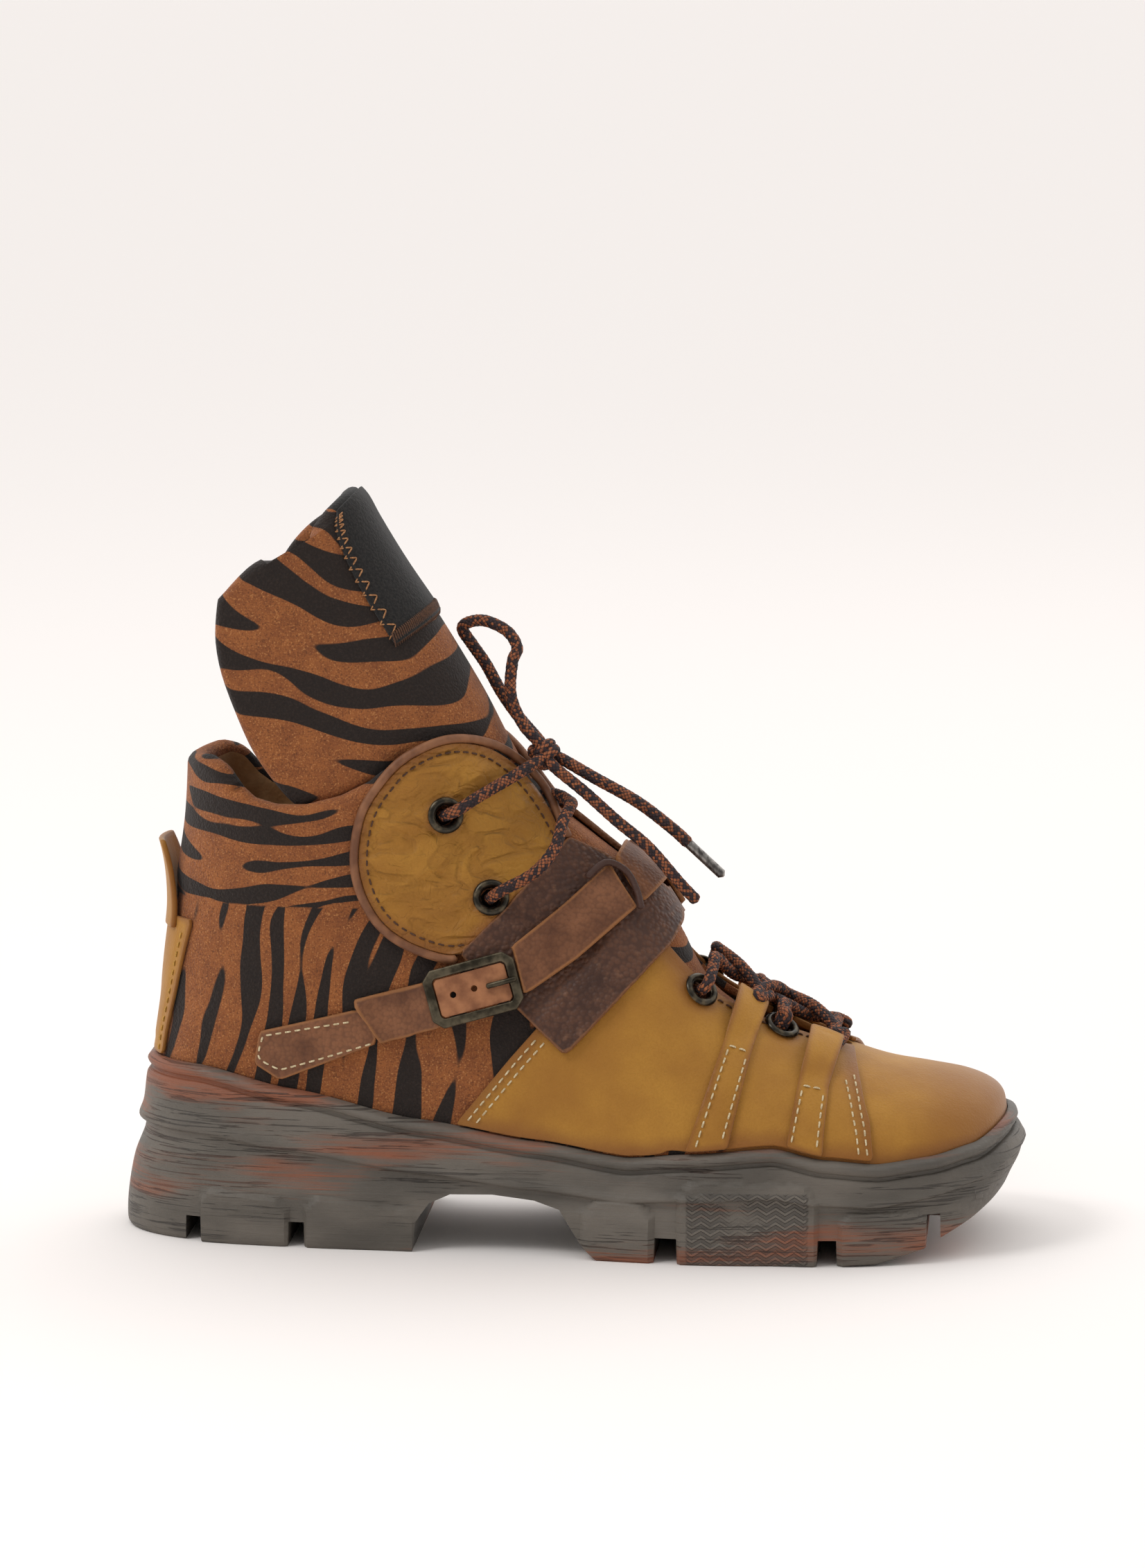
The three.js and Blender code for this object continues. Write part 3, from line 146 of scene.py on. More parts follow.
def rope(name, route, thick, sides=ROPE_SIDES, step=ROPE_STEP, braid=0.09):
    """Round cord along a route, its braid raised on it, with rounded ends and a UV map in yarn cells."""
    centres = evenly(route, step)
    runs = unit(np.gradient(centres, axis=0))
    side = unit(np.cross(runs[0], [0.0, 0.31, 0.95]))
    sides_at = []
    for run in runs:
        side = unit(side - run * np.dot(side, run))
        sides_at.append(side)
    sides_at = np.array(sides_at)
    ups_at = np.cross(runs, sides_at)
    angles = np.linspace(0, 2 * math.pi, sides, endpoint=False)
    gone = np.concatenate([[0], np.cumsum(np.linalg.norm(np.diff(centres, axis=0), axis=1))])
    around = angles / (2 * math.pi) * BRAID_ROUND
    cells = np.sin(math.pi * (around + gone[:, None] / BRAID_RISE)) * np.sin(
        math.pi * (around - gone[:, None] / BRAID_RISE))
    from_end = np.minimum(gone, gone[-1] - gone)[:, None]
    cap = np.sqrt(np.clip(1 - (1 - np.clip(from_end / (thick * 0.3), 0, 1)) ** 2, 0.05, 1))
    radius = thick / 2 * (1 - braid + braid * 1.2 * np.abs(cells)) * cap
    points = (centres[:, None] + radius[..., None] * (
        np.cos(angles)[:, None] * sides_at[:, None] + np.sin(angles)[:, None] * ups_at[:, None]))
    count = len(centres)
    faces = [(j * sides + i, j * sides + (i + 1) % sides, (j + 1) * sides + (i + 1) % sides, (j + 1) * sides + i)
             for j in range(count - 1) for i in range(sides)]
    faces += [tuple(range(sides))[::-1], tuple((count - 1) * sides + i for i in range(sides))]
    piece = new_mesh(name, points.reshape(-1, 3), faces)
    uv = piece.data.uv_layers.new(name="yarn")
    for face in piece.data.polygons:
        corners = [piece.data.loops[k].vertex_index for k in face.loop_indices]
        wraps = len(corners) == 4 and max(c % sides for c in corners) - min(c % sides for c in corners) > 1
        for loop, corner in zip(face.loop_indices, corners):
            turn = corner % sides
            turn = sides if wraps and turn == 0 else turn
            uv.data[loop].uv = (turn / sides * BRAID_ROUND, gone[corner // sides] / BRAID_RISE)
    return piece


class Value:
    """A shader socket that is reckoned with as a number."""

    def __init__(self, look, socket):
        self.look = look
        self.socket = socket

    def math(self, operation, first, second=0.0):
        return self.look.node("ShaderNodeMath", {"operation": operation}, {0: first, 1: second})

    def __add__(self, other):
        return self.math("ADD", self, other)

    def __radd__(self, other):
        return self.math("ADD", other, self)

    def __sub__(self, other):
        return self.math("SUBTRACT", self, other)

    def __rsub__(self, other):
        return self.math("SUBTRACT", other, self)

    def __mul__(self, other):
        return self.math("MULTIPLY", self, other)

    def __rmul__(self, other):
        return self.math("MULTIPLY", other, self)

    def __truediv__(self, other):
        return self.math("DIVIDE", self, other)

    def floor(self):
        return self.math("FLOOR", self)

    def absolute(self):
        return self.math("ABSOLUTE", self)

    def sine(self):
        return self.math("SINE", self)

    def least(self, other):
        return self.math("MINIMUM", self, other)

    def most(self, other):
        return self.math("MAXIMUM", self, other)

    def between(self, low, high):
        """0 under the low value, 1 over the high one, smooth between."""
        settings = {"interpolation_type": "SMOOTHSTEP"}
        return self.look.node("ShaderNodeMapRange", settings, {"Value": self, "From Min": low, "From Max": high})


class Look:
    """A material, and the one way in which its nodes are made."""

    def __init__(self, name, **shader):
        self.material = bpy.data.materials.new(name)
        self.material.use_nodes = True
        self.tree = self.material.node_tree
        self.shader = self.tree.nodes["Principled BSDF"]
        for socket, value in shader.items():
            self.shader.inputs[socket.replace("_", " ")].default_value = value

    def node(self, kind, settings=None, sockets=None, output=0):
        node = self.tree.nodes.new(kind)
        for name, value in (settings or {}).items():
            setattr(node, name, value)
        for key, value in (sockets or {}).items():
            if isinstance(value, Value):
                self.tree.links.new(value.socket, node.inputs[key])
            else:
                node.inputs[key].default_value = value
        return Value(self, node.outputs[output])

    def place(self, scale=(1, 1, 1)):
        """The piece's own coordinates in metres, stretched."""
        own = self.node("ShaderNodeTexCoord", output=3)
        return self.node("ShaderNodeMapping", None, {"Vector": own, "Scale": scale})

    def axis(self, name):
        own = self.node("ShaderNodeTexCoord", output=3)
        return self.node("ShaderNodeSeparateXYZ", None, {0: own}, "XYZ".index(name))

    def noise(self, scale, detail=2.0, distortion=0.0):
        if not isinstance(scale, tuple):
            scale = (scale,) * 3
        sockets = {"Vector": self.place(scale), "Scale": 1.0, "Detail": detail, "Distortion": distortion}
        return self.node("ShaderNodeTexNoise", None, sockets)

    def cells(self, scale, feature="F1"):
        sockets = {"Vector": self.place((scale,) * 3), "Scale": 1.0}
        return self.node("ShaderNodeTexVoronoi", {"feature": feature}, sockets)

    def attribute(self, name):
        return self.node("ShaderNodeAttribute", {"attribute_name": name}, output=2)

    def mix(self, factor, first, second):
        sockets = {0: factor, 6: first, 7: second}
        return self.node("ShaderNodeMix", {"data_type": "RGBA"}, sockets, 2)

    def feed(self, socket, value):
        self.tree.links.new(value.socket, self.shader.inputs[socket])

    def bump(self, height, depth, strength=1.0):
        """Relief of a height between 0 and 1 that is some millimetres deep."""
        sockets = {"Height": height, "Distance": depth * MM, "Strength": strength}
        self.feed("Normal", self.node("ShaderNodeBump", None, sockets))


def colour(code):
    """Linear colour of a six-figure web colour."""
    parts = [int(code[k:k + 2], 16) / 255 for k in (0, 2, 4)]
    return tuple(p / 12.92 if p <= 0.04045 else ((p + 0.055) / 1.055) ** 2.4 for p in parts) + (1.0,)


def fit(piece, look, slot, *nodes):
    """Gives a piece its material and its body, and hides the nodes it stands for; its slot is not used."""
    if not piece.data.materials or piece.data.materials[0] is None:
        piece.data.materials.clear()
        piece.data.materials.append(look.material)
    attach(piece, "root")
    if nodes:
        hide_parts(*nodes)
    return piece


lace_look = Look("round_lace", Roughness=0.75)
yarn_uv = lace_look.node("ShaderNodeUVMap", {"uv_map": "yarn"})
yarn_u = lace_look.node("ShaderNodeSeparateXYZ", None, {0: yarn_uv}, 0)
yarn_v = lace_look.node("ShaderNodeSeparateXYZ", None, {0: yarn_uv}, 1)
left_yarn, right_yarn = yarn_u + yarn_v, yarn_u - yarn_v
yarn_cell = lace_look.node("ShaderNodeCombineXYZ", None, {0: left_yarn.floor(), 1: right_yarn.floor()})
yarn_pick = lace_look.node("ShaderNodeTexWhiteNoise", {"noise_dimensions": "2D"}, {"Vector": yarn_cell})
fleck = yarn_pick.between(0.42, 0.5)
yarn_shine = lace_look.noise(1600, 1.0).between(0.3, 0.7)
dark_yarn = lace_look.mix(yarn_shine, colour("1d1218"), colour("3a2224"))
tan_yarn = lace_look.mix(yarn_shine, colour("7a3f22"), colour("a8643c"))
yarn_gap = ((left_yarn * math.pi).sine() * (right_yarn * math.pi).sine()).absolute()
# The grooves between the braid's strands are painted near black (120b0e) as painted shade.
lace_look.feed("Base Color", lace_look.mix(yarn_gap.between(0.02, 0.3), colour("120b0e"),
                                           lace_look.mix(fleck, dark_yarn, tan_yarn)))
lace_look.bump(yarn_gap.between(0.0, 0.7) + lace_look.noise(2600, 1.0) * 0.4, 0.25)


def shifted(points):
    return np.asarray(points, float) + SHIFT


def free_cord(route):
    path = evenly(route, 2)


aglet_look = Look("aglet", Metallic=0.85, Roughness=0.32)
aglet_wear = aglet_look.noise((900, 900, 200)).between(0.35, 0.65)
aglet_look.feed("Base Color", aglet_look.mix(aglet_wear, colour("8f8b86"), colour("4e4a48")))

knot_turns = np.linspace(0, 2.6 * 2 * math.pi, 40)
KNOT_RADIUS = 2.9
knot_axis = unit(np.array([0.62, -0.3, -0.72]))
knot_side = unit(np.cross(knot_axis, [0, 0, 1.0]))
knot_up = np.cross(knot_axis, knot_side)
knot_route = shifted(KNOT_AT) + (
    np.cos(knot_turns)[:, None] * knot_side * KNOT_RADIUS + np.sin(knot_turns)[:, None] * knot_up * KNOT_RADIUS
    + ((knot_turns / knot_turns[-1] - 0.5) * 6.4)[:, None] * knot_axis)
lace_knot = fit(rope("lace_knot_wound", knot_route, LACE_THICK), lace_look, "round_lace", "lace_knot")

loop_route = shifted([KNOT_AT + [-1, -1, 1]] + LOOP_ROUTE + [KNOT_AT + [0, 1.5, 0]])
lace_loop = fit(rope("lace_loop_standing", loop_route, LACE_THICK), lace_look, "round_lace", "lace_loop")
free_cord(loop_route)

end_routes = [shifted([KNOT_AT + [0, 0, -0.5 * k]] + route) for k, route in enumerate(END_ROUTES)]
end_run = unit(end_routes[0][-1] - end_routes[0][-2])
aglet_route = [end_routes[0][-1] - end_run * 1.5, end_routes[0][-1] + end_run * AGLET_LENGTH]
aglet = rope("lace_aglet_tube", aglet_route, AGLET_THICK, 16, 1.0, braid=0.0)
fit(aglet, aglet_look, "aglet_metal", "lace_aglet")
lace_end_1 = fit(rope("lace_end_with_aglet", end_routes[0], LACE_THICK), lace_look, "round_lace", "lace_end_1")
free_cord(end_routes[0])
lace_end_2 = fit(rope("lace_end_sealed", end_routes[1], LACE_THICK), lace_look, "round_lace", "lace_end_2")
free_cord(end_routes[1])


# Stage: a plain pale floor that runs far back, with a large soft light above and a fill in front.
# The floor's colour is the photo's warm white.
FLOOR_SIZE = 60
bpy.ops.mesh.primitive_plane_add(size=FLOOR_SIZE, location=(0, 0, 0))
floor = bpy.context.object
floor.name = "floor"
floor_look = Look("floor_paper", Roughness=0.85, Base_Color=colour("faf5f2"))
floor.data.materials.append(floor_look.material)


def soft_light(name, size, power, at, aim=(0, 0, 0.1), tint=(1, 1, 1)):
    bpy.ops.object.light_add(type="AREA", location=at)
    lamp = bpy.context.object
    lamp.name = name
    lamp.data.shape = "RECTANGLE"
    lamp.data.size, lamp.data.size_y = size
    lamp.data.energy = power
    lamp.data.color = tint
    lamp.rotation_euler = (Vector(at) - Vector(aim)).to_track_quat("Z", "Y").to_euler()


soft_light("key_light", (0.6, 0.5), 7.5, (-0.9, -0.55, 1.35))
soft_light("back_light", (1.4, 0.6), 2.2, (0.7, 1.2, 1.2))
world = bpy.data.worlds.new("studio")
bpy.context.scene.world = world
world.use_nodes = True
world.node_tree.nodes["Background"].inputs["Color"].default_value = (1.0, 0.985, 0.975, 1)
world_way = world.node_tree.nodes.new("ShaderNodeTexCoord")
world_axes = world.node_tree.nodes.new("ShaderNodeSeparateXYZ")
world_fade = world.node_tree.nodes.new("ShaderNodeMapRange")
for socket, value in (("From Min", -0.9), ("From Max", 0.4), ("To Min", 0.34), ("To Max", 1.26)):
    world_fade.inputs[socket].default_value = value
world.node_tree.links.new(world_way.outputs["Generated"], world_axes.inputs[0])
world.node_tree.links.new(world_axes.outputs["Y"], world_fade.inputs["Value"])
world.node_tree.links.new(world_fade.outputs[0], world.node_tree.nodes["Background"].inputs["Strength"])


# Upper: tiger-print suede behind and yellow nubuck over the toes, closed over a last and lined with tan
# leather. Its collar is padded and rolled over, and it is open at the throat, where the tongue lies.
LAST_LENGTH = 271.5
BALL_WIDTH = 97
COLLAR_HEIGHT = 155
UPPER_WALL = 2.4
COLLAR_PAD = 6.6
COLLAR_ROLL = 2.6
THROAT_HALF_WIDTH = 13.5
THROAT_START = 0.815
EYELET_BARREL = 8
OUTER, INNER = -1, 1
SIDES = ((OUTER, "outer"), (INNER, "inner"))
HEEL_AT = 134
LAST_TABLE = dict(zip(
    ("frontX", "frontZ", "backX", "backZ", "outer", "inner", "widest", "shoulder", "taper", "base"),
    np.array([
        (1.0, 0.258, 1.0, 0.232, -0.04, 0.062, 0.5, 2, 0, 2),
        (0.995, 0.294, 0.995, 0.19, 0.095, 0.2, 0.45, 2.1, 0, 2.4),
        (0.98, 0.319, 0.98, 0.155, 0.22, 0.3, 0.42, 2.3, 0.02, 3),
        (0.95, 0.339, 0.95, 0.123, 0.33, 0.385, 0.4, 2.4, 0.04, 3.4),
        (0.906, 0.353, 0.906, 0.097, 0.415, 0.445, 0.38, 2.4, 0.06, 3.6),
        (0.855, 0.37, 0.855, 0.077, 0.47, 0.48, 0.36, 2.3, 0.09, 4),
        (0.796, 0.408, 0.796, 0.071, 0.503, 0.49, 0.33, 2.2, 0.13, 4),
        (0.729, 0.465, 0.722, 0.071, 0.51, 0.474, 0.31, 2.1, 0.18, 4),
        (0.67, 0.526, 0.641, 0.077, 0.503, 0.423, 0.3, 2.1, 0.2, 4),
        (0.634, 0.59, 0.538, 0.097, 0.469, 0.355, 0.32, 2.2, 0.17, 4),
        (0.604, 0.668, 0.42, 0.123, 0.425, 0.315, 0.36, 2.2, 0.14, 3.8),
        (0.571, 0.748, 0.273, 0.161, 0.392, 0.32, 0.4, 2.2, 0.1, 3.4),
        (0.51, 0.832, 0.107, 0.2, 0.371, 0.34, 0.43, 2.2, 0.06, 2.8),
        (0.459, 0.903, -0.005, 0.29, 0.357, 0.345, 0.46, 2.2, 0.04, 2.35),
        (0.431, 0.965, -0.004, 0.503, 0.351, 0.345, 0.48, 2.2, 0.02, 2.15),
        (0.408, 1.026, 0.009, 0.697, 0.346, 0.345, 0.48, 2.2, 0.02, 2.05),
        (0.386, 1.095, 0.024, 0.871, 0.351, 0.351, 0.48, 2.2, 0.02, 2.05),
        (0.361, 1.174, 0.029, 1.06, 0.356, 0.356, 0.48, 2.2, 0.02, 2.05),
    ]).T,
))
SOLE_HEIGHTS = dict(zip(
    ("at", "rim", "bed", "tread"),
    np.array([
        (-0.04, 0.368, 0.245, 0),
        (0.05, 0.365, 0.24, 0),
        (0.16, 0.326, 0.225, 0),
        (0.31, 0.271, 0.19, 0),
        (0.45, 0.235, 0.15, 0),
        (0.56, 0.21, 0.125, 0),
        (0.63, 0.222, 0.115, 0),
        (0.73, 0.236, 0.11, 0),
        (0.79, 0.214, 0.112, 0),
        (0.85, 0.204, 0.12, 0.004),
        (0.91, 0.214, 0.135, 0.033),
        (0.96, 0.23, 0.155, 0.075),
        (1.0, 0.262, 0.185, 0.115),
        (1.04, 0.272, 0.19, 0.15),
    ]).T,
))
COLLAR_LINE = [
    (-0.1, 1.0), (0.02, 0.99), (0.05, 1.0), (0.072, 0.985), (0.092, 0.945), (0.11, 0.922),
    (0.14, 0.91), (0.18, 0.912), (0.22, 0.93), (0.255, 0.96), (0.285, 1.0), (0.315, 1.028),
    (0.345, 1.035), (0.372, 1.03), (0.4, 1.0), (0.43, 0.95), (0.46, 0.89), (0.485, 0.845),
    (0.52, 0.845), (0.8, 1.3), (0.8, 2), (-0.1, 2),
]
COLLAR_SEAM = [
    (-0.1, 0.705), (0.06, 0.7), (0.18, 0.705), (0.26, 0.715), (0.3, 0.76), (0.33, 1.3), (-0.1, 1.3),
]
EYELETS = {
    "flap_top": (0.339, 0.895), "flap_low": (0.394, 0.724),
    "quarter_top": (0.637, 0.527), "quarter_low": (0.732, 0.443),
}
# Creases of the worn-in leather: the middle of each in the side view, how it runs, its length, width and
# depth in millimetres, and the side it is on.
CREASES = [
    (0.31, 0.86, 0.5, 20, 2.4, 1.2, OUTER), (0.28, 0.78, 0.25, 18, 2.2, 1.1, OUTER),
    (0.33, 0.77, 0.75, 16, 2.2, 1.1, OUTER), (0.36, 0.82, -0.4, 14, 2.0, 0.9, OUTER),
    (0.30, 0.71, 0.1, 18, 2.4, 1.1, OUTER), (0.34, 0.68, 0.6, 14, 2.0, 0.9, OUTER),
    (0.37, 0.93, 0.9, 16, 2.0, 0.5, OUTER), (0.30, 0.93, 0.2, 15, 2.0, 0.5, OUTER),
    (0.31, 0.84, 0.6, 20, 2.2, 0.6, INNER), (0.30, 0.74, 0.2, 18, 2.0, 0.6, INNER),
    (0.36, 0.80, -0.5, 14, 1.8, 0.5, INNER), (0.83, 0.30, 1.35, 16, 3.0, 0.35, OUTER),
    (0.70, 0.33, 1.25, 26, 4.0, 0.35, OUTER), (0.76, 0.33, 1.2, 22, 4.0, 0.35, INNER),
    (0.16, 0.80, 0.05, 40, 3.0, 0.5, OUTER), (0.20, 0.86, 0.1, 34, 3.0, 0.45, OUTER),
    (0.12, 0.62, 0.3, 30, 4.0, 0.4, OUTER), (0.18, 0.82, -0.05, 40, 3.0, 0.5, INNER),
]


def wrapped(turn):
    return (np.asarray(turn, float) + 1) % 2 - 1


def last_face(place, turn):
    """The last's face: place 0 at the toe to 1 over the collar, turn 0 at the ridge, 0.5 outer side, 1 under."""
    place, turn = np.asarray(place, float), wrapped(turn)
    at = place * (len(LAST_TABLE["widest"]) - 1)
    row = {name: along(column, at) for name, column in LAST_TABLE.items()}
    swing = np.abs(turn) * math.pi
    cos, sin = np.abs(np.cos(swing)), np.abs(np.sin(swing))
    top = swing <= math.pi / 2
    up = np.where(top, cos ** (2 / row["shoulder"]), 0)
    rise = np.where(top, row["widest"] + (1 - row["widest"]) * up, row["widest"] * (1 - cos ** (2 / row["base"])))
    share = np.where(top, sin * (1 - row["taper"] * up), sin ** (2 / row["base"]))
    side = np.where(turn >= 0, OUTER, INNER)
    middle = (row["inner"] - row["outer"]) / 2
    half = np.where(turn >= 0, row["outer"], row["inner"]) - side * middle
    x = (row["backX"] + (row["frontX"] - row["backX"]) * rise) * LAST_LENGTH
    z = (row["backZ"] + (row["frontZ"] - row["backZ"]) * rise) * COLLAR_HEIGHT
    y = (middle + side * half * share) * BALL_WIDTH
    return np.stack([x - HEEL_AT, y, z], axis=-1) + SHIFT


def last_normal(place, turn):
    step = 0.004
    low, high = np.clip(place - step, 0.002, 1), np.clip(place + step, 0.002, 1)
    inside = np.clip(place, 0.004, 1)
    by_place = last_face(high, turn) - last_face(low, turn)
    by_turn = last_face(inside, turn + step) - last_face(inside, turn - step)
    return unit(np.cross(by_place, by_turn))


def offset_face(place, turn, offset):
    place, turn = np.asarray(place, float), np.asarray(turn, float)
    offset = np.broadcast_to(np.asarray(offset, float), np.broadcast(place, turn).shape)
    return last_face(place, turn) + last_normal(place, turn) * offset[..., None]


def side_view(outline):
    """Outline in shares of length and height, as side-view millimetres."""
    x, z = np.asarray(outline, float).T
    return np.stack([x * LAST_LENGTH - HEEL_AT + SHIFT[0], z * COLLAR_HEIGHT], axis=1)


def inside(outline, flat):
    """How far points of the plane lie inside an outline, below 0 outside it."""
    a, b = outline, np.roll(outline, -1, axis=0)
    flat = np.asarray(flat)[:, None]
    edge = b - a
    share = np.clip(((flat - a) * edge).sum(-1) / (edge ** 2).sum(-1), 0, 1)
    far = np.linalg.norm(flat - a - share[..., None] * edge, axis=-1).min(axis=1)
    over = (a[:, 1] > flat[..., 1]) != (b[:, 1] > flat[..., 1])
    rise = np.where(np.abs(edge[:, 1]) < 1e-9, 1e-9, edge[:, 1])
    cross = a[:, 0] + (flat[..., 1] - a[:, 1]) / rise * edge[:, 0]
    within = (over & (flat[..., 0] < cross)).sum(axis=1) % 2 == 1
    return np.where(within, far, -far)


def within(outline, points):
    return inside(side_view(outline), points[:, [0, 2]])


def height_at(column, x):
    """Height of the sole's rim, bed or tread at a place along the shoe."""
    share = (np.asarray(x) - SHIFT[0] + HEEL_AT) / LAST_LENGTH
    f = np.interp(share, SOLE_HEIGHTS["at"], np.arange(len(SOLE_HEIGHTS["at"])))
    low = np.clip(np.floor(f).astype(int), 0, len(SOLE_HEIGHTS["at"]) - 2)
    part = f - low
    if column != "tread":
        part = (part + part * part * (3 - 2 * part)) / 2
    rows = SOLE_HEIGHTS[column]
    return (rows[low] + (rows[low + 1] - rows[low]) * part) * COLLAR_HEIGHT


def crease_depth(points):
    """How far the creases push the leather in, and how far it rises beside them."""
    depth = np.zeros(len(points))
    for x, z, run, long, wide, deep, side in CREASES:
        middle = side_view([(x, z)])[0]
        off = points[:, [0, 2]] - middle
        lengthways = (off * [math.cos(run), math.sin(run)]).sum(-1)
        across = (off * [-math.sin(run), math.cos(run)]).sum(-1) + 1.5 * np.sin(lengthways / long * 5)
        fade = np.exp(-(lengthways / (0.5 * long)) ** 4) * (side * points[:, 1] > 0)
        depth += deep * fade * (np.exp(-(across / wide) ** 2) - 0.7 * np.exp(-((across - 2 * wide) / wide) ** 2))
    return depth


def ridge_place(share):
    """Place on the last whose ridge is at a share of its length."""
    places = np.linspace(0.05, 0.8, 800)
    ridge = last_face(places, 0 * places)[:, 0] - SHIFT[0] + HEEL_AT
    return float(places[np.abs(ridge - share * LAST_LENGTH).argmin()])


THROAT_PLACE = ridge_place(THROAT_START)


def throat_gap(place, turn, points):
    """How far a point lies outside the throat's opening."""
    f = (place - THROAT_PLACE) / (1 - THROAT_PLACE)
    late = np.clip(f, 0, 1)
    half = THROAT_HALF_WIDTH * (np.sqrt(np.minimum(1, 0.12 + late * 7)) + 0.55 * np.maximum(0, late - 0.4))
    ridge = last_face(place, 0 * place)[:, 1]
    gap = np.maximum(np.abs(points[:, 1] - ridge) - half, -f * 250)
    return np.where(np.abs(wrapped(turn)) > 0.42, 99, gap)


def find_on_last(x, z, side):
    """Place and turn on the last whose side view is a point."""
    goal = side_view([(x, z)])[0]
    place, turn, span = 0.5, 0.3, 0.5
    for _ in range(8):
        ps, ts = np.meshgrid(place + span * np.linspace(-1, 1, 17), turn + 0.6 * span * np.linspace(-1, 1, 17))
        ps, ts = np.clip(ps, 0.01, 1).ravel(), np.clip(ts, 0.01, 0.6).ravel()
        miss = np.linalg.norm(last_face(ps, -side * ts)[:, [0, 2]] - goal, axis=1)
        place, turn = ps[miss.argmin()], ts[miss.argmin()]
        span *= 0.35
    return float(place), float(-side * turn)


def sheet(keep, step=2.0, whole=False, reach=(0.0, 1.0)):
    """A net laid round the last, on a unit cylinder whose height is the place, cut where keep falls below 0."""
    ps, ts = np.meshgrid(np.linspace(0.01, 1, 70), np.linspace(-1, 1, 120, endpoint=False), indexing="ij")
    rough = keep(ps.ravel(), ts.ravel()).reshape(ps.shape) > -4
    used_places, used_turns = ps[rough], ts[rough]
    low, high = max(used_places.min() - 0.02, 0.002), min(used_places.max() + 0.02, 1)
    low, high = max(low, reach[0]), min(high, reach[1])
    rows = max(4, int((high - low) * 330 / step))
    net = bmesh.new()
    if whole:
        turns = np.linspace(-1, 1, int(300 / step), endpoint=False)
    else:
        about = 1.0 if np.abs(used_turns).max() > 0.97 else 0.0
        moved = wrapped(used_turns - about)
        first, final = moved.min() - 0.02, moved.max() + 0.02
        turns = np.linspace(first, final, max(4, int((final - first) * 150 / step))) + about
    grid = []
    for place in np.linspace(low, high, rows + 1):
        grid.append([net.verts.new((math.cos(t * math.pi), math.sin(t * math.pi), place)) for t in turns])
    columns = len(turns) if whole else len(turns) - 1
    for j in range(rows):
        for i in range(columns):
            k = (i + 1) % len(turns)
            net.faces.new((grid[j][i], grid[j][k], grid[j + 1][k], grid[j + 1][i]))
    trim(net, lambda at: keep(*on_net(at)))
    return net


def on_net(at):
    """Place and turn of points of the net."""
    return at[:, 2], np.arctan2(at[:, 1], at[:, 0]) / math.pi


def trim(net, keep):
    """Cuts a net along the line where keep is 0, and takes away what lies below."""
    corners = list(net.verts)
    value = keep(np.array([v.co[:] for v in corners]))
    value = np.where(np.abs(value) < 0.02, 0.02, value)
    level = dict(zip(corners, value))
    split = []
    for edge in [e for e in net.edges if level[e.verts[0]] * level[e.verts[1]] < 0]:
        first, second = edge.verts
        share = level[first] / (level[first] - level[second])
        split.append(bmesh.utils.edge_split(edge, first, min(max(share, 0.02), 0.98))[1])
    bmesh.ops.connect_verts(net, verts=split)
    gone = [f for f in net.faces if min(level.get(v, 0.0) for v in f.verts) < 0]
    bmesh.ops.delete(net, geom=gone, context="FACES")
    bmesh.ops.delete(net, geom=[v for v in net.verts if not v.link_faces], context="VERTS")


SLIVER = 0.2


def thick_piece(name, net, outer, inner, edge_of, roll=0.45, turns=4, ease=0, away=None):
    """Closes a net into a wall between an outer and an inner face, with rounded edges."""
    net.verts.index_update()
    at = np.array([v.co[:] for v in net.verts])
    top, under = outer(at), inner(at)
    count = len(at)
    faces = [tuple(v.index for v in f.verts) for f in net.faces]
    turned = 0
    for f in faces[:: max(1, len(faces) // 200)]:
        normal = np.cross(top[f[1]] - top[f[0]], top[f[2]] - top[f[1]])
        turned += 1 if np.dot(normal, (top - under)[f[0]]) > 0 else -1
    if turned < 0:
        faces = [f[::-1] for f in faces]
    seen = {}
    for f in faces:
        for a, b in zip(f, f[1:] + f[:1]):
            seen[(a, b)] = f
    rims = [(a, b) for (a, b) in seen if (b, a) not in seen]
    out = np.zeros((count, 3))
    for a, b in rims:
        middle = top[list(seen[(a, b)])].mean(axis=0)
        run = unit(top[b] - top[a])
        away_from = (top[a] + top[b]) / 2 - middle
        away_from = away_from - run * np.dot(away_from, run)
        away_from = away_from / (np.linalg.norm(away_from) + SLIVER)
        out[a] += away_from
        out[b] += away_from
    if away:
        out = away(at, out)
    ends = np.array(rims)
    for _ in range(ease):
        spread = out * 2
        np.add.at(spread, ends[:, 0], out[ends[:, 1]])
        np.add.at(spread, ends[:, 1], out[ends[:, 0]])
        out = spread / 4
    out = unit(out)
    rim_points = sorted({a for a, _ in rims} | {b for _, b in rims})
    size = np.linalg.norm(top - under, axis=1, keepdims=True)
    rolls = np.broadcast_to(np.asarray(roll if not callable(roll) else roll(at), float).reshape(-1, 1), (count, 1))
    points = [top, under]
    start = {}
    total = 2 * count
    chain = []
    for k in range(1, turns):
        angle = math.pi * k / turns
        ring = (top + under) / 2 + (top - under) / 2 * math.cos(angle) + out * size / 2 * rolls * math.sin(angle)
        chain.append(ring[rim_points])
        start[k] = total
        total += len(rim_points)
    place_of = {v: i for i, v in enumerate(rim_points)}

    def link(v, k):
        return v if k == 0 else v + count if k == turns else start[k] + place_of[v]

    walls = [(link(b, k), link(a, k), link(a, k + 1), link(b, k + 1)) for a, b in rims for k in range(turns)]
    back = [tuple(v + count for v in f[::-1]) for f in faces]
    everything = np.vstack(points + chain)
    piece = new_mesh(name, everything, faces + back + walls)
    edge = np.concatenate([edge_of, edge_of] + [np.zeros(len(rim_points))] * (turns - 1))
    piece.data.attributes.new("edge", "FLOAT", "POINT").data.foreach_set("value", edge)
    return piece, len(faces)


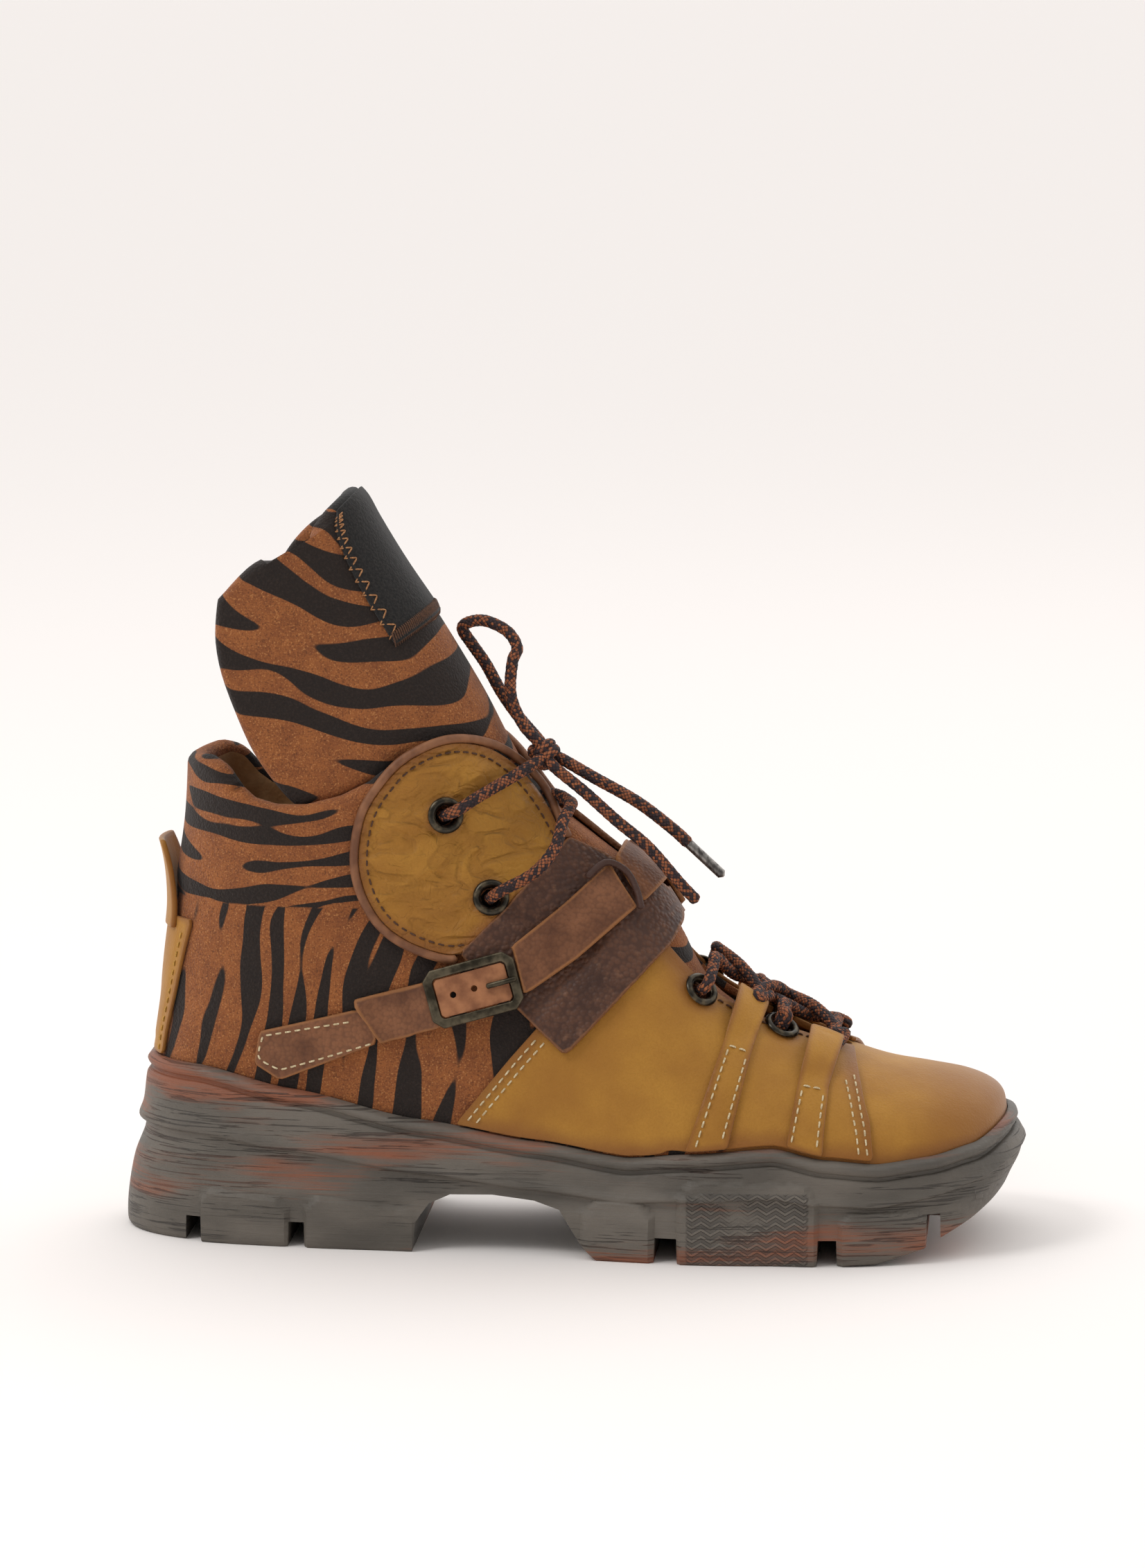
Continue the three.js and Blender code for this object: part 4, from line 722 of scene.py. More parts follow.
def eyelet_gap(points, radius=EYELET_BARREL / 2 - 0.5, names=EYELETS):
    gap = np.full(len(points), 99.0)
    for name in names:
        for side, _ in SIDES:
            centre = last_face(*find_cached(name, side))
            gap = np.minimum(gap, np.linalg.norm(points - centre, axis=1) - radius)
    return gap


found = {}


def find_cached(name, side):
    if (name, side) not in found:
        found[(name, side)] = find_on_last(*EYELETS[name], side)
    return found[(name, side)]


def collar_gap(points):
    return -within(COLLAR_LINE, points) - COLLAR_ROLL


def upper_keep(place, turn):
    points = last_face(place, turn)
    gaps = [collar_gap(points), throat_gap(place, turn, points), eyelet_gap(points),
            points[:, 2] - height_at("bed", points[:, 0]) - 0.3]
    return np.minimum.reduce(gaps)


def eased(value, low, high):
    f = np.clip((value - low) / (high - low), 0, 1)
    return f * f * (3 - 2 * f)


def upper_outside(at):
    place, turn = on_net(at)
    points = last_face(place, turn)
    seam = within(COLLAR_SEAM, points)
    swell = 0.9 * eased(seam, 0, 9) - 0.5 * np.exp(-(seam / 1.3) ** 2)
    above = eased(points[:, 2] - height_at("rim", points[:, 0]), 0, 4)
    return offset_face(place, turn, (swell - crease_depth(points)) * above)


def upper_inside(at):
    place, turn = on_net(at)
    points = last_face(place, turn)
    pad = eased(within(COLLAR_SEAM, points), 0, 10)
    return offset_face(place, turn, -UPPER_WALL - (COLLAR_PAD - UPPER_WALL) * pad)


def upper_roll(at):
    points = last_face(*on_net(at))
    return np.where(np.abs(collar_gap(points)) < 1.2, 0.95, 0.3)


suede_dark, suede_mid, suede_light = colour("26201d"), colour("7c4522"), colour("9c5d2e")


def stripes(look, lean, pitch, long):
    """Tapering, forking stripes a pitch apart, lying along the shoe or leaning from that."""
    own = look.node("ShaderNodeTexCoord", output=3)
    turned = look.node("ShaderNodeMapping", None, {"Vector": own, "Rotation": (0, lean, 0)})
    height = look.node("ShaderNodeSeparateXYZ", None, {0: turned}, 2)

    def drift(along_it, over_it, detail):
        scale = (along_it, along_it, over_it)
        stretched = look.node("ShaderNodeMapping", None, {"Vector": turned, "Scale": scale})
        return look.node("ShaderNodeTexNoise", None, {"Vector": stretched, "Scale": 1.0, "Detail": detail})

    wave = (height * (2 * math.pi / pitch) + drift(0.9 / long, 1.1 / long, 0.5) * 22).sine()
    taper = drift(1.5 / long, 0.6 / pitch, 1.0)
    return (wave * 0.14 + taper).between(0.488, 0.512)


def striped_suede(name, split_height=None, lean=0.0, pitch=0.0086, long=0.045):
    """Suede printed with tapering dark stripes, lying down above a height and standing under it."""
    look = Look(name, Roughness=0.92, Sheen_Weight=0.08, Sheen_Roughness=0.5)
    stripe = stripes(look, lean, pitch, long)
    if split_height is not None:
        above = look.axis("Z").between(split_height - 0.0004, split_height + 0.0004)
        stripe = above * stripe + (1 - above) * stripes(look, math.pi / 2 - 0.2, 0.0105, 0.055)
    nap = look.noise(1300, 3.0)
    patch = look.noise(140, 3.0)
    base = look.mix((patch * 0.5 + nap * 0.5).between(0.3, 0.7), suede_mid, suede_light)
    speck = look.noise(1900, 1.0)
    base = look.mix(speck.between(0.6, 0.72) * 0.6, base, colour("c48a52"))
    base = look.mix((1 - speck.between(0.3, 0.42)) * 0.6, base, colour("4e2a14"))
    ink = look.mix(nap.between(0.45, 0.8) * 0.7, colour("0f0c0a"), suede_dark)
    look.feed("Base Color", look.mix(stripe * 0.97, base, ink))
    look.bump(nap * 0.8 + look.noise(600, 2.0) * 0.6, 0.6)
    return look


def nubuck(name, toe=False, burnished=6.5, creased=False):
    """Yellow nubuck, darkened by burnishing near its edges and over the toe."""
    look = Look(name, Roughness=0.62, Sheen_Weight=0.15, Sheen_Roughness=0.4, Specular_IOR_Level=0.35)
    cloud = look.noise(45, 3.0)
    grain = look.noise(1400, 2.0)
    edge = look.attribute("edge") + (cloud - 0.5) * 4
    burnish = 1 - edge.between(-0.5, burnished)
    if toe:
        front = look.axis("X").between(0.100 + SHIFT[0] * MM, 0.139 + SHIFT[0] * MM)
        burnish = burnish.most(front * 0.85 + (cloud - 0.5) * 0.3 * front)
    base = look.mix(cloud.between(0.25, 0.75), colour("9e6b25"), colour("b4812e"))
    base = look.mix(grain.between(0.3, 0.8) * 0.35, base, colour("9a681c"))
    relief = grain * 0.25 + look.noise(260, 3.0) * 0.25
    if creased:
        fold = (look.noise((52, 52, 85), 2.0, 0.9) - 0.5).absolute().between(0.0, 0.11)
        fine_fold = (look.noise((190, 190, 240), 2.0, 0.7) - 0.5).absolute().between(0.0, 0.12)
        relief = relief + fold * 1.2 + fine_fold * 0.35
        # The fold lines, sunk by the bump, are painted darker (855615) as painted shade in the creases.
        base = look.mix((1 - fold) * 0.35, base, colour("855615"))
    look.feed("Base Color", look.mix(burnish * 0.8, base, colour("84501e")))
    look.feed("Roughness", 0.66 - burnish * 0.16)
    look.bump(relief, 0.55)
    return look


seam_height = 0.706 * COLLAR_HEIGHT * MM
upper_look = striped_suede("striped_suede", seam_height, 0.06, 0.0082, 0.05)
toe_look = nubuck("toe_nubuck", toe=True)
lining_look = Look("tan_lining", Roughness=0.6)
lining_cloud = lining_look.noise(120, 3.0)
lining_look.feed("Base Color", lining_look.mix(lining_cloud.between(0.3, 0.7), colour("b08355"), colour("cda375")))
lining_look.bump(lining_look.cells(1100) * 0.6 + lining_look.noise(500, 2.0) * 0.5, 0.2, 0.6)

upper_net = sheet(upper_keep, step=2.0, whole=True)
upper_at = np.array([v.co[:] for v in upper_net.verts])
upper_points = last_face(*on_net(upper_at))
rim_rise = np.abs(upper_points[:, 2] - height_at("rim", upper_points[:, 0]))
upper, outside_faces = thick_piece("upper_lined", upper_net, upper_outside, upper_inside,
                                   rim_rise, upper_roll, turns=8, ease=3)
for look in (upper_look, toe_look, lining_look):
    upper.data.materials.append(look.material)
face_x = np.array([f.center[0] for f in upper.data.polygons]) / MM - SHIFT[0]
FRONT_FROM = 50
for index, face in enumerate(upper.data.polygons):
    if index < outside_faces or index >= 2 * outside_faces:
        face.material_index = 1 if face_x[index] > FRONT_FROM else 0
    else:
        face.material_index = 2
fit(upper, upper_look, "striped_suede", "upper")


# Sole: one moulded unit of grey rubber with a lip, a groove, stepped sides and raised lug panels.
# The upper stands in its bed, and notches, arch and grooves are cut out of it.
CLEARANCE = 0.3
LIP_GAP = 0.9
GROOVE_BELOW = 5.2
TREAD_DEPTH = 4
NOTCH_HEIGHT = 8
NOTCH_REACH = 15
PANEL_RISE = 1.9
CENTRE_GROOVE = 7
ARCH_HEIGHT = 19
RIM_STATIONS = 240
LIP_LEVELS = [
    (0, 0.9, 0.9, 0.9), (0.9, 2.9, 2.9, 2.9), (2.2, 3.6, 3.6, 3.6),
    (3.6, 2.9, 2.9, 2.9), (4.2, 1.9, 1.9, 1.9), (GROOVE_BELOW, 2.1, 2.2, 2.2),
]
WALL_LEVELS = [
    (1, 2.1, 2.2, 2.2), (0.97, 3.4, 3.8, 4), (0.8, 4, 5, 5.6), (0.7, 5.0, 6.6, 6.2), (0.64, 3.5, 4.4, 4.9),
    (0.45, 4.8, 8, 4.6), (0.22, 5.5, 10.2, 2.4), (0.04, 5.6, 10.6, 0.6), (0, 4.9, 9.2, -0.6),
]
LUGS = [
    (-0.06, 0.03, 0), (0.052, 0.155, 0.31), (0.178, 0.31, 0.32), (0.51, 0.59, 0.55),
    (0.622, 0.781, 0.76), (0.808, 0.908, 0.5), (0.927, 1.06, 0),
]
ARCH = [
    (0.302, -0.4), (0.309, 0.5), (0.325, 0.82), (0.35, 0.98), (0.4, 1), (0.45, 0.93), (0.48, 0.8),
    (0.488, 0.62), (0.505, 0.25), (0.525, 0), (0.54, -0.4),
]


def halved(low, high, over, rounds=30):
    """Narrows a range between a value where over is true and one where it is false."""
    for _ in range(rounds):
        middle = (low + high) / 2
        above = over(middle)
        low, high = np.where(above, middle, low), np.where(above, high, middle)
    return low


def above_rim(points):
    return points[..., 2] > height_at("rim", points[..., 0])


heel_place = float(halved(np.array(0.9), np.array(0.6), lambda p: above_rim(last_face(p, 1.0))))
sine_run = np.sin(math.pi / 2 * (np.arange(RIM_STATIONS) + 0.5) / RIM_STATIONS)
rim_places = 0.006 + (heel_place - 0.0065) * sine_run


def rim_side(side):
    start = np.full(RIM_STATIONS, 0.02)
    turns = halved(start, start + 0.978, lambda t: above_rim(last_face(rim_places, -side * t)))
    return last_face(rim_places, -side * turns)


rim = np.vstack([rim_side(OUTER), rim_side(INNER)[::-1]])
rim_run = np.roll(rim, -1, axis=0) - np.roll(rim, 1, axis=0)
rim_out = unit(np.stack([-rim_run[:, 1], rim_run[:, 0], 0 * rim_run[:, 0]], axis=1))
if (rim_out * (rim - rim.mean(axis=0))).sum() < 0:
    rim_out = -rim_out


def panel_share(points):
    """1 within the raised lug panels of the sole's side, 0 outside them."""
    best = np.zeros(len(points))
    for start, end, top in LUGS:
        if top:
            high = [top * height_at("rim", share * LAST_LENGTH - HEEL_AT + SHIFT[0]) / COLLAR_HEIGHT
                    for share in (start, end)]
            outline = [(start, -0.1), (start, high[0] * 0.8), (start + 0.012, high[0]),
                       (end - 0.012, high[1]), (end, high[1] * 0.8), (end, -0.1)]
            best = np.maximum(best, eased(within(outline, points), -0.5, 0.6))
    return best


def sole_ring(level, share_of_wall):
    below, side, heel, toe = level
    heelward, toeward = np.maximum(0, -rim_out[:, 0]) ** 2, np.maximum(0, rim_out[:, 0]) ** 2
    out = side + (heel - side) * heelward + (toe - side) * toeward
    ring = rim + rim_out * out[:, None]
    top, tread = height_at("rim", rim[:, 0]), height_at("tread", ring[:, 0])
    ring[:, 2] = tread + (top - GROOVE_BELOW - tread) * below if share_of_wall else top - below
    return ring + rim_out * (PANEL_RISE * panel_share(ring) * share_of_wall)[:, None]


def skinned(name, rings, fans=False):
    """Closed mesh over rings of equal count, its ends filled."""
    count = len(rings[0])
    faces = [(j * count + i, j * count + (i + 1) % count, (j + 1) * count + (i + 1) % count, (j + 1) * count + i)
             for j in range(len(rings) - 1) for i in range(count)]
    points = np.vstack(rings)
    start = (len(rings) - 1) * count
    if fans:
        points = np.vstack([points, rings[0].mean(axis=0), rings[-1].mean(axis=0)])
        faces += [((i + 1) % count, i, len(points) - 2) for i in range(count)]
        faces += [(start + i, start + (i + 1) % count, len(points) - 1) for i in range(count)]
    else:
        for i in range(count // 2 - 1):
            faces.append((i + 1, i, count - 1 - i, count - 2 - i))
            faces.append((start + i, start + i + 1, start + count - 2 - i, start + count - 1 - i))
    piece = new_mesh(name, points, faces, smooth=False)
    net = bmesh.new()
    net.from_mesh(piece.data)
    bmesh.ops.recalc_face_normals(net, faces=net.faces)
    net.to_mesh(piece.data)
    net.free()
    return piece


def side_prism(outline, from_y, to_y):
    """Solid of a side-view outline between two depths."""
    flat = side_view(outline)
    count = len(flat)
    points = [(x, y, z) for y in (from_y, to_y) for x, z in flat]
    faces = [tuple(range(count)), tuple(range(count, 2 * count))[::-1]]
    faces += [(i, (i + 1) % count, count + (i + 1) % count, count + i)[::-1] for i in range(count)]
    piece = new_mesh("cutter", points, faces, smooth=False)
    net = bmesh.new()
    net.from_mesh(piece.data)
    bmesh.ops.triangulate(net, faces=net.faces)
    bmesh.ops.recalc_face_normals(net, faces=net.faces)
    net.to_mesh(piece.data)
    net.free()
    return piece


def boolean(piece, cutter, operation="DIFFERENCE"):
    """Applies a boolean with a cutter and takes the cutter away."""
    change = piece.modifiers.new("cut", "BOOLEAN")
    change.operation, change.solver, change.object = operation, "MANIFOLD", cutter
    with bpy.context.temp_override(object=piece, active_object=piece, selected_objects=[piece]):
        bpy.ops.object.modifier_apply(modifier=change.name)
    bpy.data.objects.remove(cutter)


def smooth_by_angle(piece, degrees):
    bpy.ops.object.select_all(action="DESELECT")
    piece.select_set(True)
    bpy.context.view_layer.objects.active = piece
    bpy.ops.object.shade_smooth_by_angle(angle=math.radians(degrees))


rings = [sole_ring(along(LIP_LEVELS, np.array(at)), 0) for at in np.linspace(0, 5, 21)]
rings += [sole_ring(along(WALL_LEVELS, np.array(at)), 1) for at in np.linspace(0, 8, 57)[1:]]
sole = skinned("sole_unit", rings)
WIDE = 150
for before, after in [pair for k, pair in enumerate(zip(LUGS, LUGS[1:])) if k != 2]:
    start, end = before[1], after[0]
    ease = 0.1 * (end - start)
    lift = float(height_at("tread", end * LAST_LENGTH - HEEL_AT + SHIFT[0])) / COLLAR_HEIGHT
    near = rim[np.abs(rim[:, 0] - SHIFT[0] + HEEL_AT - end * LAST_LENGTH) < 12]

    def notch(height, from_y, to_y):
        top = lift + height / COLLAR_HEIGHT
        shape = [(start, -0.1), (start + ease, top), (end - ease, top), (end, -0.1)]
        boolean(sole, side_prism(shape, from_y, to_y))

    notch(TREAD_DEPTH, -WIDE, WIDE)
    for side, _ in SIDES:
        edge = (side * (near[:, 1] - SHIFT[1])).max()
        notch(NOTCH_HEIGHT, *sorted([side * max(4, edge - NOTCH_REACH) + SHIFT[1], side * WIDE]))
boolean(sole, side_prism([(x, z * ARCH_HEIGHT / COLLAR_HEIGHT) for x, z in ARCH], -WIDE, WIDE))
for start, end in ((0.06, 0.29), (0.54, 0.9)):
    top = TREAD_DEPTH / COLLAR_HEIGHT
    groove = [(start, -0.1), (start, top), (end, top), (end, -0.1)]
    boolean(sole, side_prism(groove, SHIFT[1] - CENTRE_GROOVE / 2, SHIFT[1] + CENTRE_GROOVE / 2))
last_places, last_turns = np.linspace(0.002, 1, 120), np.linspace(-1, 1, 160, endpoint=False)
foot = skinned("cutter", [offset_face(np.full(160, p), last_turns, CLEARANCE) for p in last_places], fans=True)
bed = list(zip(SOLE_HEIGHTS["at"], SOLE_HEIGHTS["bed"])) + [(1.2, 0.2), (1.2, 3), (-0.3, 3), (-0.3, 0.245)]
boolean(foot, side_prism(bed, -WIDE, WIDE), "INTERSECT")
boolean(sole, foot)
for face in sole.data.polygons:
    face.use_smooth = True
smooth_by_angle(sole, 38)

rubber = Look("grey_rubber", Roughness=0.6, Specular_IOR_Level=0.45)
rubber_cloud = rubber.noise((22, 22, 60), 4.0)
rubber_x, rubber_z = rubber.axis("X"), rubber.axis("Z")
scratch = rubber.noise((42, 42, 1500), 3.0, 0.5)
scratched = scratch.between(0.57, 0.63) * rubber.noise((16, 16, 80), 2.0).between(0.45, 0.6)
rust_cloud = rubber.noise((11, 11, 60), 3.0, 0.4)
rust = (rust_cloud * 0.75 + scratch * 0.25).between(0.5, 0.64)
rubber_base = rubber.mix(rubber_cloud.between(0.3, 0.7), colour("524d46"), colour("6f685f"))
rubber_base = rubber.mix(rust * 0.75, rubber_base, colour("94502e"))
rubber_base = rubber.mix(scratched * 0.7, rubber_base, colour("38322e"))
rubber.feed("Roughness", 0.46 + rubber_cloud * 0.25)
chevron = rubber_x * 170
chevron = ((chevron - chevron.floor()) * 2 - 1).absolute()
chevron = ((rubber_z * 450 + chevron * 0.8) * (2 * math.pi)).sine().between(-0.3, 0.5)
lug_from = (LUGS[4][0] * LAST_LENGTH - HEEL_AT + SHIFT[0]) * MM
lug_to = (LUGS[4][1] * LAST_LENGTH - HEEL_AT + SHIFT[0]) * MM
on_big_lug = rubber_x.between(lug_from + 0.002, lug_from + 0.003) * (1 - rubber_x.between(lug_to - 0.003, lug_to - 0.002))
on_big_lug = on_big_lug * (1 - rubber_z.between(0.0225, 0.0235))
toe_square = ((rubber_x * 1400).sine() * (rubber_z * 1400).sine()).between(-0.2, 0.3)
on_toe = rubber_x.between(lug_to + 0.048, lug_to + 0.05) * (1 - rubber_z.between(0.020, 0.0215))
# Painted shade: the grooves between the big lug's chevron ribs and the toe's squares are painted darker (36322f), only
# in the noise patches where the moulded pattern shows.
pattern_patches = rubber.noise((40, 40, 120), 2.0).between(0.35, 0.5)
groove_shade = (1 - chevron) * on_big_lug + (1 - toe_square) * on_toe * 0.6
rubber.feed("Base Color", rubber.mix(groove_shade * pattern_patches * 0.5, rubber_base, colour("36322f")))
rubber.bump((chevron * on_big_lug + toe_square * on_toe * 0.6) * pattern_patches - scratched * 0.5
            + rubber.noise(420, 3.0) * 0.3 + scratch * 0.3, 0.9)
fit(sole, rubber, "grey_rubber", "sole")


# Insole: a foam sheet faced with tan leather, lying on the sole's bed inside the upper.
# Its edge follows the inside of the upper's wall.
INSOLE_THICK = 3.5
insole = skinned("cutter", [offset_face(np.full(160, p), last_turns, -UPPER_WALL - CLEARANCE)
                            for p in last_places], fans=True)
insole.name = "insole_faced"
boolean(insole, side_prism([(x, z + CLEARANCE / COLLAR_HEIGHT) for x, z in bed], -WIDE, WIDE), "INTERSECT")
over_insole = [(x, z + (CLEARANCE + INSOLE_THICK) / COLLAR_HEIGHT) for x, z in bed]
boolean(insole, side_prism(over_insole, -WIDE, WIDE))
for face in insole.data.polygons:
    face.use_smooth = True
smooth_by_angle(insole, 38)
fit(insole, lining_look, "tan_leather", "insole")


# Tongue: a tall padded tongue of tiger-print suede that wraps the shin, tucked under the upper's edges.
# It is sewn in at its lower end and stands free above the collar.
TONGUE_HALF_WIDTH = 30
TONGUE_DEPTH = 67
TONGUE_THICK = 6.5
TONGUE_SQUARE = 2.6
TONGUE_TABLE = dict(zip(
    ("x", "z", "depth", "width"),
    np.array([
        (0.82, 0.352, 0.1, 0.45),
        (0.765, 0.394, 0.12, 0.52),
        (0.7, 0.452, 0.15, 0.6),
        (0.655, 0.505, 0.2, 0.62),
        (0.628, 0.575, 0.27, 0.64),
        (0.607, 0.658, 0.38, 0.68),
        (0.573, 0.74, 0.48, 0.74),
        (0.51, 0.826, 0.6, 0.82),
        (0.449, 0.912, 0.72, 0.9),
        (0.411, 1.013, 0.86, 0.96),
        (0.375, 1.135, 0.97, 1),
        (0.3285, 1.27, 1, 1.02),
        (0.282, 1.39, 0.93, 1.02),
        (0.251, 1.478, 0.8, 1),
        (0.236, 1.525, 0.62, 0.95),
        (0.226, 1.545, 0.45, 0.86),
    ]).T,
))


def solid_tree(points, faces):
    """Tree of a closed form, to measure how deep points lie in it."""
    return BVHTree.FromPolygons([tuple(p) for p in points], faces)


def net_faces(rows, columns, closed=True):
    wrap = columns if closed else columns - 1
    return [(j * columns + i, j * columns + (i + 1) % columns, (j + 1) * columns + (i + 1) % columns,
             (j + 1) * columns + i) for j in range(rows - 1) for i in range(wrap)]


foot_points = np.vstack([last_face(np.full(240, p), np.linspace(-1, 1, 240, endpoint=False))
                         for p in np.linspace(0.002, 1, 200)])
foot_tree = solid_tree(foot_points, net_faces(200, 240))


def depth_in_foot(points):
    """How deep points lie inside the last, below 0 outside it."""
    depth = np.empty(len(points))
    for k, point in enumerate(points):
        near, normal, _, gap = foot_tree.find_nearest(Vector(point))
        depth[k] = gap if (Vector(point) - near).dot(foot_way(near)) < 0 else -gap
    return depth


def foot_way(near):
    """Direction out of the last at a point of its face, away from its middle line."""
    spine = spine_points[np.abs(spine_points - np.array(near)).sum(axis=1).argmin()]
    return near - Vector(spine)


spine_points = np.array([
    (last_face(p, 0.0) * share + last_face(p, 1.0) * (1 - share))
    for p in np.linspace(0.01, 1, 60) for share in (0.3, 0.5, 0.7)])


def tongue_point(place, turn, inset):
    """Point of the tongue: place 0 at the vamp to 1 at its top, turn -1 to 1 across, inset from its face."""
    place, turn = np.asarray(place, float), np.asarray(turn, float)
    at = place * (len(TONGUE_TABLE["x"]) - 1)
    final = len(TONGUE_TABLE["x"]) - 1

    def ridge(a):
        return np.stack([along(TONGUE_TABLE["x"], a) * LAST_LENGTH, along(TONGUE_TABLE["z"], a) * COLLAR_HEIGHT], -1)

    run = unit(ridge(np.minimum(at + 0.2, final)) - ridge(np.maximum(at - 0.2, 0)))
    inward = np.stack([-run[..., 1], run[..., 0]], axis=-1)
    depth, half = along(TONGUE_TABLE["depth"], at) * TONGUE_DEPTH, along(TONGUE_TABLE["width"], at) * TONGUE_HALF_WIDTH
    swing, power = np.abs(turn) * math.pi / 2, 2 / TONGUE_SQUARE
    wide, deep = np.sin(swing) ** power, 1 - np.maximum(0, np.cos(swing)) ** power
    d = inset + (depth - inset) * deep
    flat = ridge(at) + inward * d[..., None]
    y = np.where(turn >= 0, OUTER, INNER) * (half - inset) * wide
    return np.stack([flat[..., 0] - HEEL_AT, y, flat[..., 1]], axis=-1) + SHIFT


def in_throat(points):
    """1 where the throat leaves room for the tongue, 0 under the upper's wall."""
    front = points[:, 0] - SHIFT[0] + HEEL_AT
    open_half = THROAT_HALF_WIDTH * (1 + 0.3 * eased(points[:, 2], 60, 150))
    ahead = eased(front, 0.30 * LAST_LENGTH, 0.36 * LAST_LENGTH)
    return ahead * (1 - eased(np.abs(points[:, 1] - SHIFT[1]), open_half - 1, open_half + 1.5))


def tongue_push(points):
    """How far the upper's wall holds the tongue in, and how deep the point lay."""
    depth = depth_in_foot(points)
    over = within(COLLAR_LINE, points)
    covered = (1 - eased(over, -1, 3)) * (1 - in_throat(points))
    pad = eased(within(COLLAR_SEAM, points), 0, 8)
    need = np.where(covered > 0.02, (UPPER_WALL + 0.4 + (COLLAR_PAD - UPPER_WALL) * pad) * covered, -300)
    share = (points[:, 0] - SHIFT[0] + HEEL_AT) / LAST_LENGTH
    line = np.where(share > 0.44, 0.93 + (share - 0.44) * 2.055, 0.93) * COLLAR_HEIGHT
    need = np.maximum(need, -np.maximum(0, points[:, 2] - line) * 2)
    return np.maximum(0, need - depth)


def tongue_net(step=2.2):
    places, turns = np.linspace(0, 1, int(232 / step)), np.linspace(-1, 1, int(190 / step))
    net = bmesh.new()
    grid = [[net.verts.new((t, 0, p)) for t in turns] for p in places]
    for j in range(len(places) - 1):
        for i in range(len(turns) - 1):
            net.faces.new((grid[j][i], grid[j][i + 1], grid[j + 1][i + 1], grid[j + 1][i]))
    return net


tongue_cache = {}


def tongue_room(at):
    key = len(at), float(at.sum())
    if key not in tongue_cache:
        tongue_cache[key] = tongue_push(tongue_point(at[:, 2], at[:, 0], 0.0))
    return tongue_cache[key]


def tongue_outside(at):
    face, core = tongue_point(at[:, 2], at[:, 0], 0.0), tongue_point(at[:, 2], at[:, 0], TONGUE_THICK)
    way = unit(core - face)
    rest = eased(at[:, 2], 0.5, 0.8)
    ripple = 0.35 * rest * np.sin(at[:, 0] * 5 + at[:, 2] * 9) * np.sin(at[:, 2] * 22 + 1)
    return face + way * (np.minimum(tongue_room(at), TONGUE_THICK - 0.8) + ripple)[:, None]


def tongue_inside(at):
    return tongue_point(at[:, 2], at[:, 0], TONGUE_THICK)


def tongue_edge(turn):
    """Place of the tongue's top edge, which slopes down along both wings."""
    wing = np.clip((np.abs(turn) - 0.44) / 0.56, 0, 1)
    return 0.99 - 0.11 * wing ** 1.6 - 0.05 * eased(-turn, 0.3, 0.62)


def tongue_corner(at):
    return (tongue_edge(at[:, 0]) - at[:, 2]) * 232


def tongue_away(at, out):
    """Square to the tongue's top edge, where the net's narrow faces give no steady way out."""
    turn, place = at[:, 0], at[:, 2]
    up = tongue_point(place + 0.01, turn, 0.0) - tongue_point(place - 0.01, turn, 0.0)
    ahead, behind = np.clip(turn + 0.01, -1, 1), np.clip(turn - 0.01, -1, 1)
    run = unit(tongue_point(tongue_edge(ahead), ahead, 0.0) - tongue_point(tongue_edge(behind), behind, 0.0))
    square = unit(up - run * (up * run).sum(axis=1, keepdims=True))
    return np.where((np.abs(tongue_corner(at)) < 1.6)[:, None], square * 1.7, out)


net = tongue_net()
trim(net, lambda at: np.minimum(TONGUE_THICK - 1.5 - tongue_room(at), tongue_corner(at)))
tongue_at = np.array([v.co[:] for v in net.verts])
tongue_border = np.minimum((1 - np.abs(tongue_at[:, 0])) * 90, (1 - tongue_at[:, 2]) * 232)
tongue, _ = thick_piece("tongue_padded", net, tongue_outside, tongue_inside, tongue_border, 0.8, turns=8, ease=12,
                        away=tongue_away)
tongue_look = striped_suede("tongue_suede", None, -0.12, 0.0115, 0.055)
tongue.data.materials.append(tongue_look.material)
fit(tongue, tongue_look, "striped_suede", "tongue")

# Patch of black suede over the tongue's top, sewn down with tan zigzag stitches on its rear edges and
# dark overcast stitches along its lower edge.
PATCH_FROM, PATCH_TO, PATCH_TURN, PATCH_THICK = 0.745, 0.985, 0.46, 1.2
net = bmesh.new()
patch_places, patch_turns = np.linspace(PATCH_FROM, PATCH_TO, 40), np.linspace(-PATCH_TURN, PATCH_TURN, 56)
grid = [[net.verts.new((t, 0, p)) for t in patch_turns] for p in patch_places]
for j in range(39):
    for i in range(55):
        net.faces.new((grid[j][i], grid[j][i + 1], grid[j + 1][i + 1], grid[j + 1][i]))
patch_at = np.array([v.co[:] for v in net.verts])
patch_border = np.minimum((PATCH_TURN - np.abs(patch_at[:, 0])) * 90, (patch_at[:, 2] - PATCH_FROM) * 232)
patch, _ = thick_piece("tongue_top_patch", net,
                       lambda at: tongue_point(at[:, 2], at[:, 0], -CLEARANCE - PATCH_THICK),
                       lambda at: tongue_point(at[:, 2], at[:, 0], -CLEARANCE * 0.3), patch_border, 0.5)
black_suede = Look("black_suede", Roughness=0.95, Sheen_Weight=0.08, Sheen_Roughness=0.5)
black_nap = black_suede.noise(1300, 3.0)
black_suede.feed("Base Color", black_suede.mix(black_nap.between(0.3, 0.7), colour("0f0e0e"), colour("24211f")))
black_suede.bump(black_nap * 0.7 + black_suede.noise(500, 2.0) * 0.5, 0.5, 0.9)
fit(patch, black_suede, "black_suede", "tongue_patch")
tongue.data.materials.append(black_suede.material)
top_line = tongue_point(np.full(60, 0.99), np.linspace(-PATCH_TURN, PATCH_TURN, 60), TONGUE_THICK / 2)
for face in tongue.data.polygons:
    gaps = np.linalg.norm(top_line - np.array(face.center) / MM, axis=1)
    if gaps.min() < 7.5 and 0 < gaps.argmin() < 59:
        face.material_index = 1


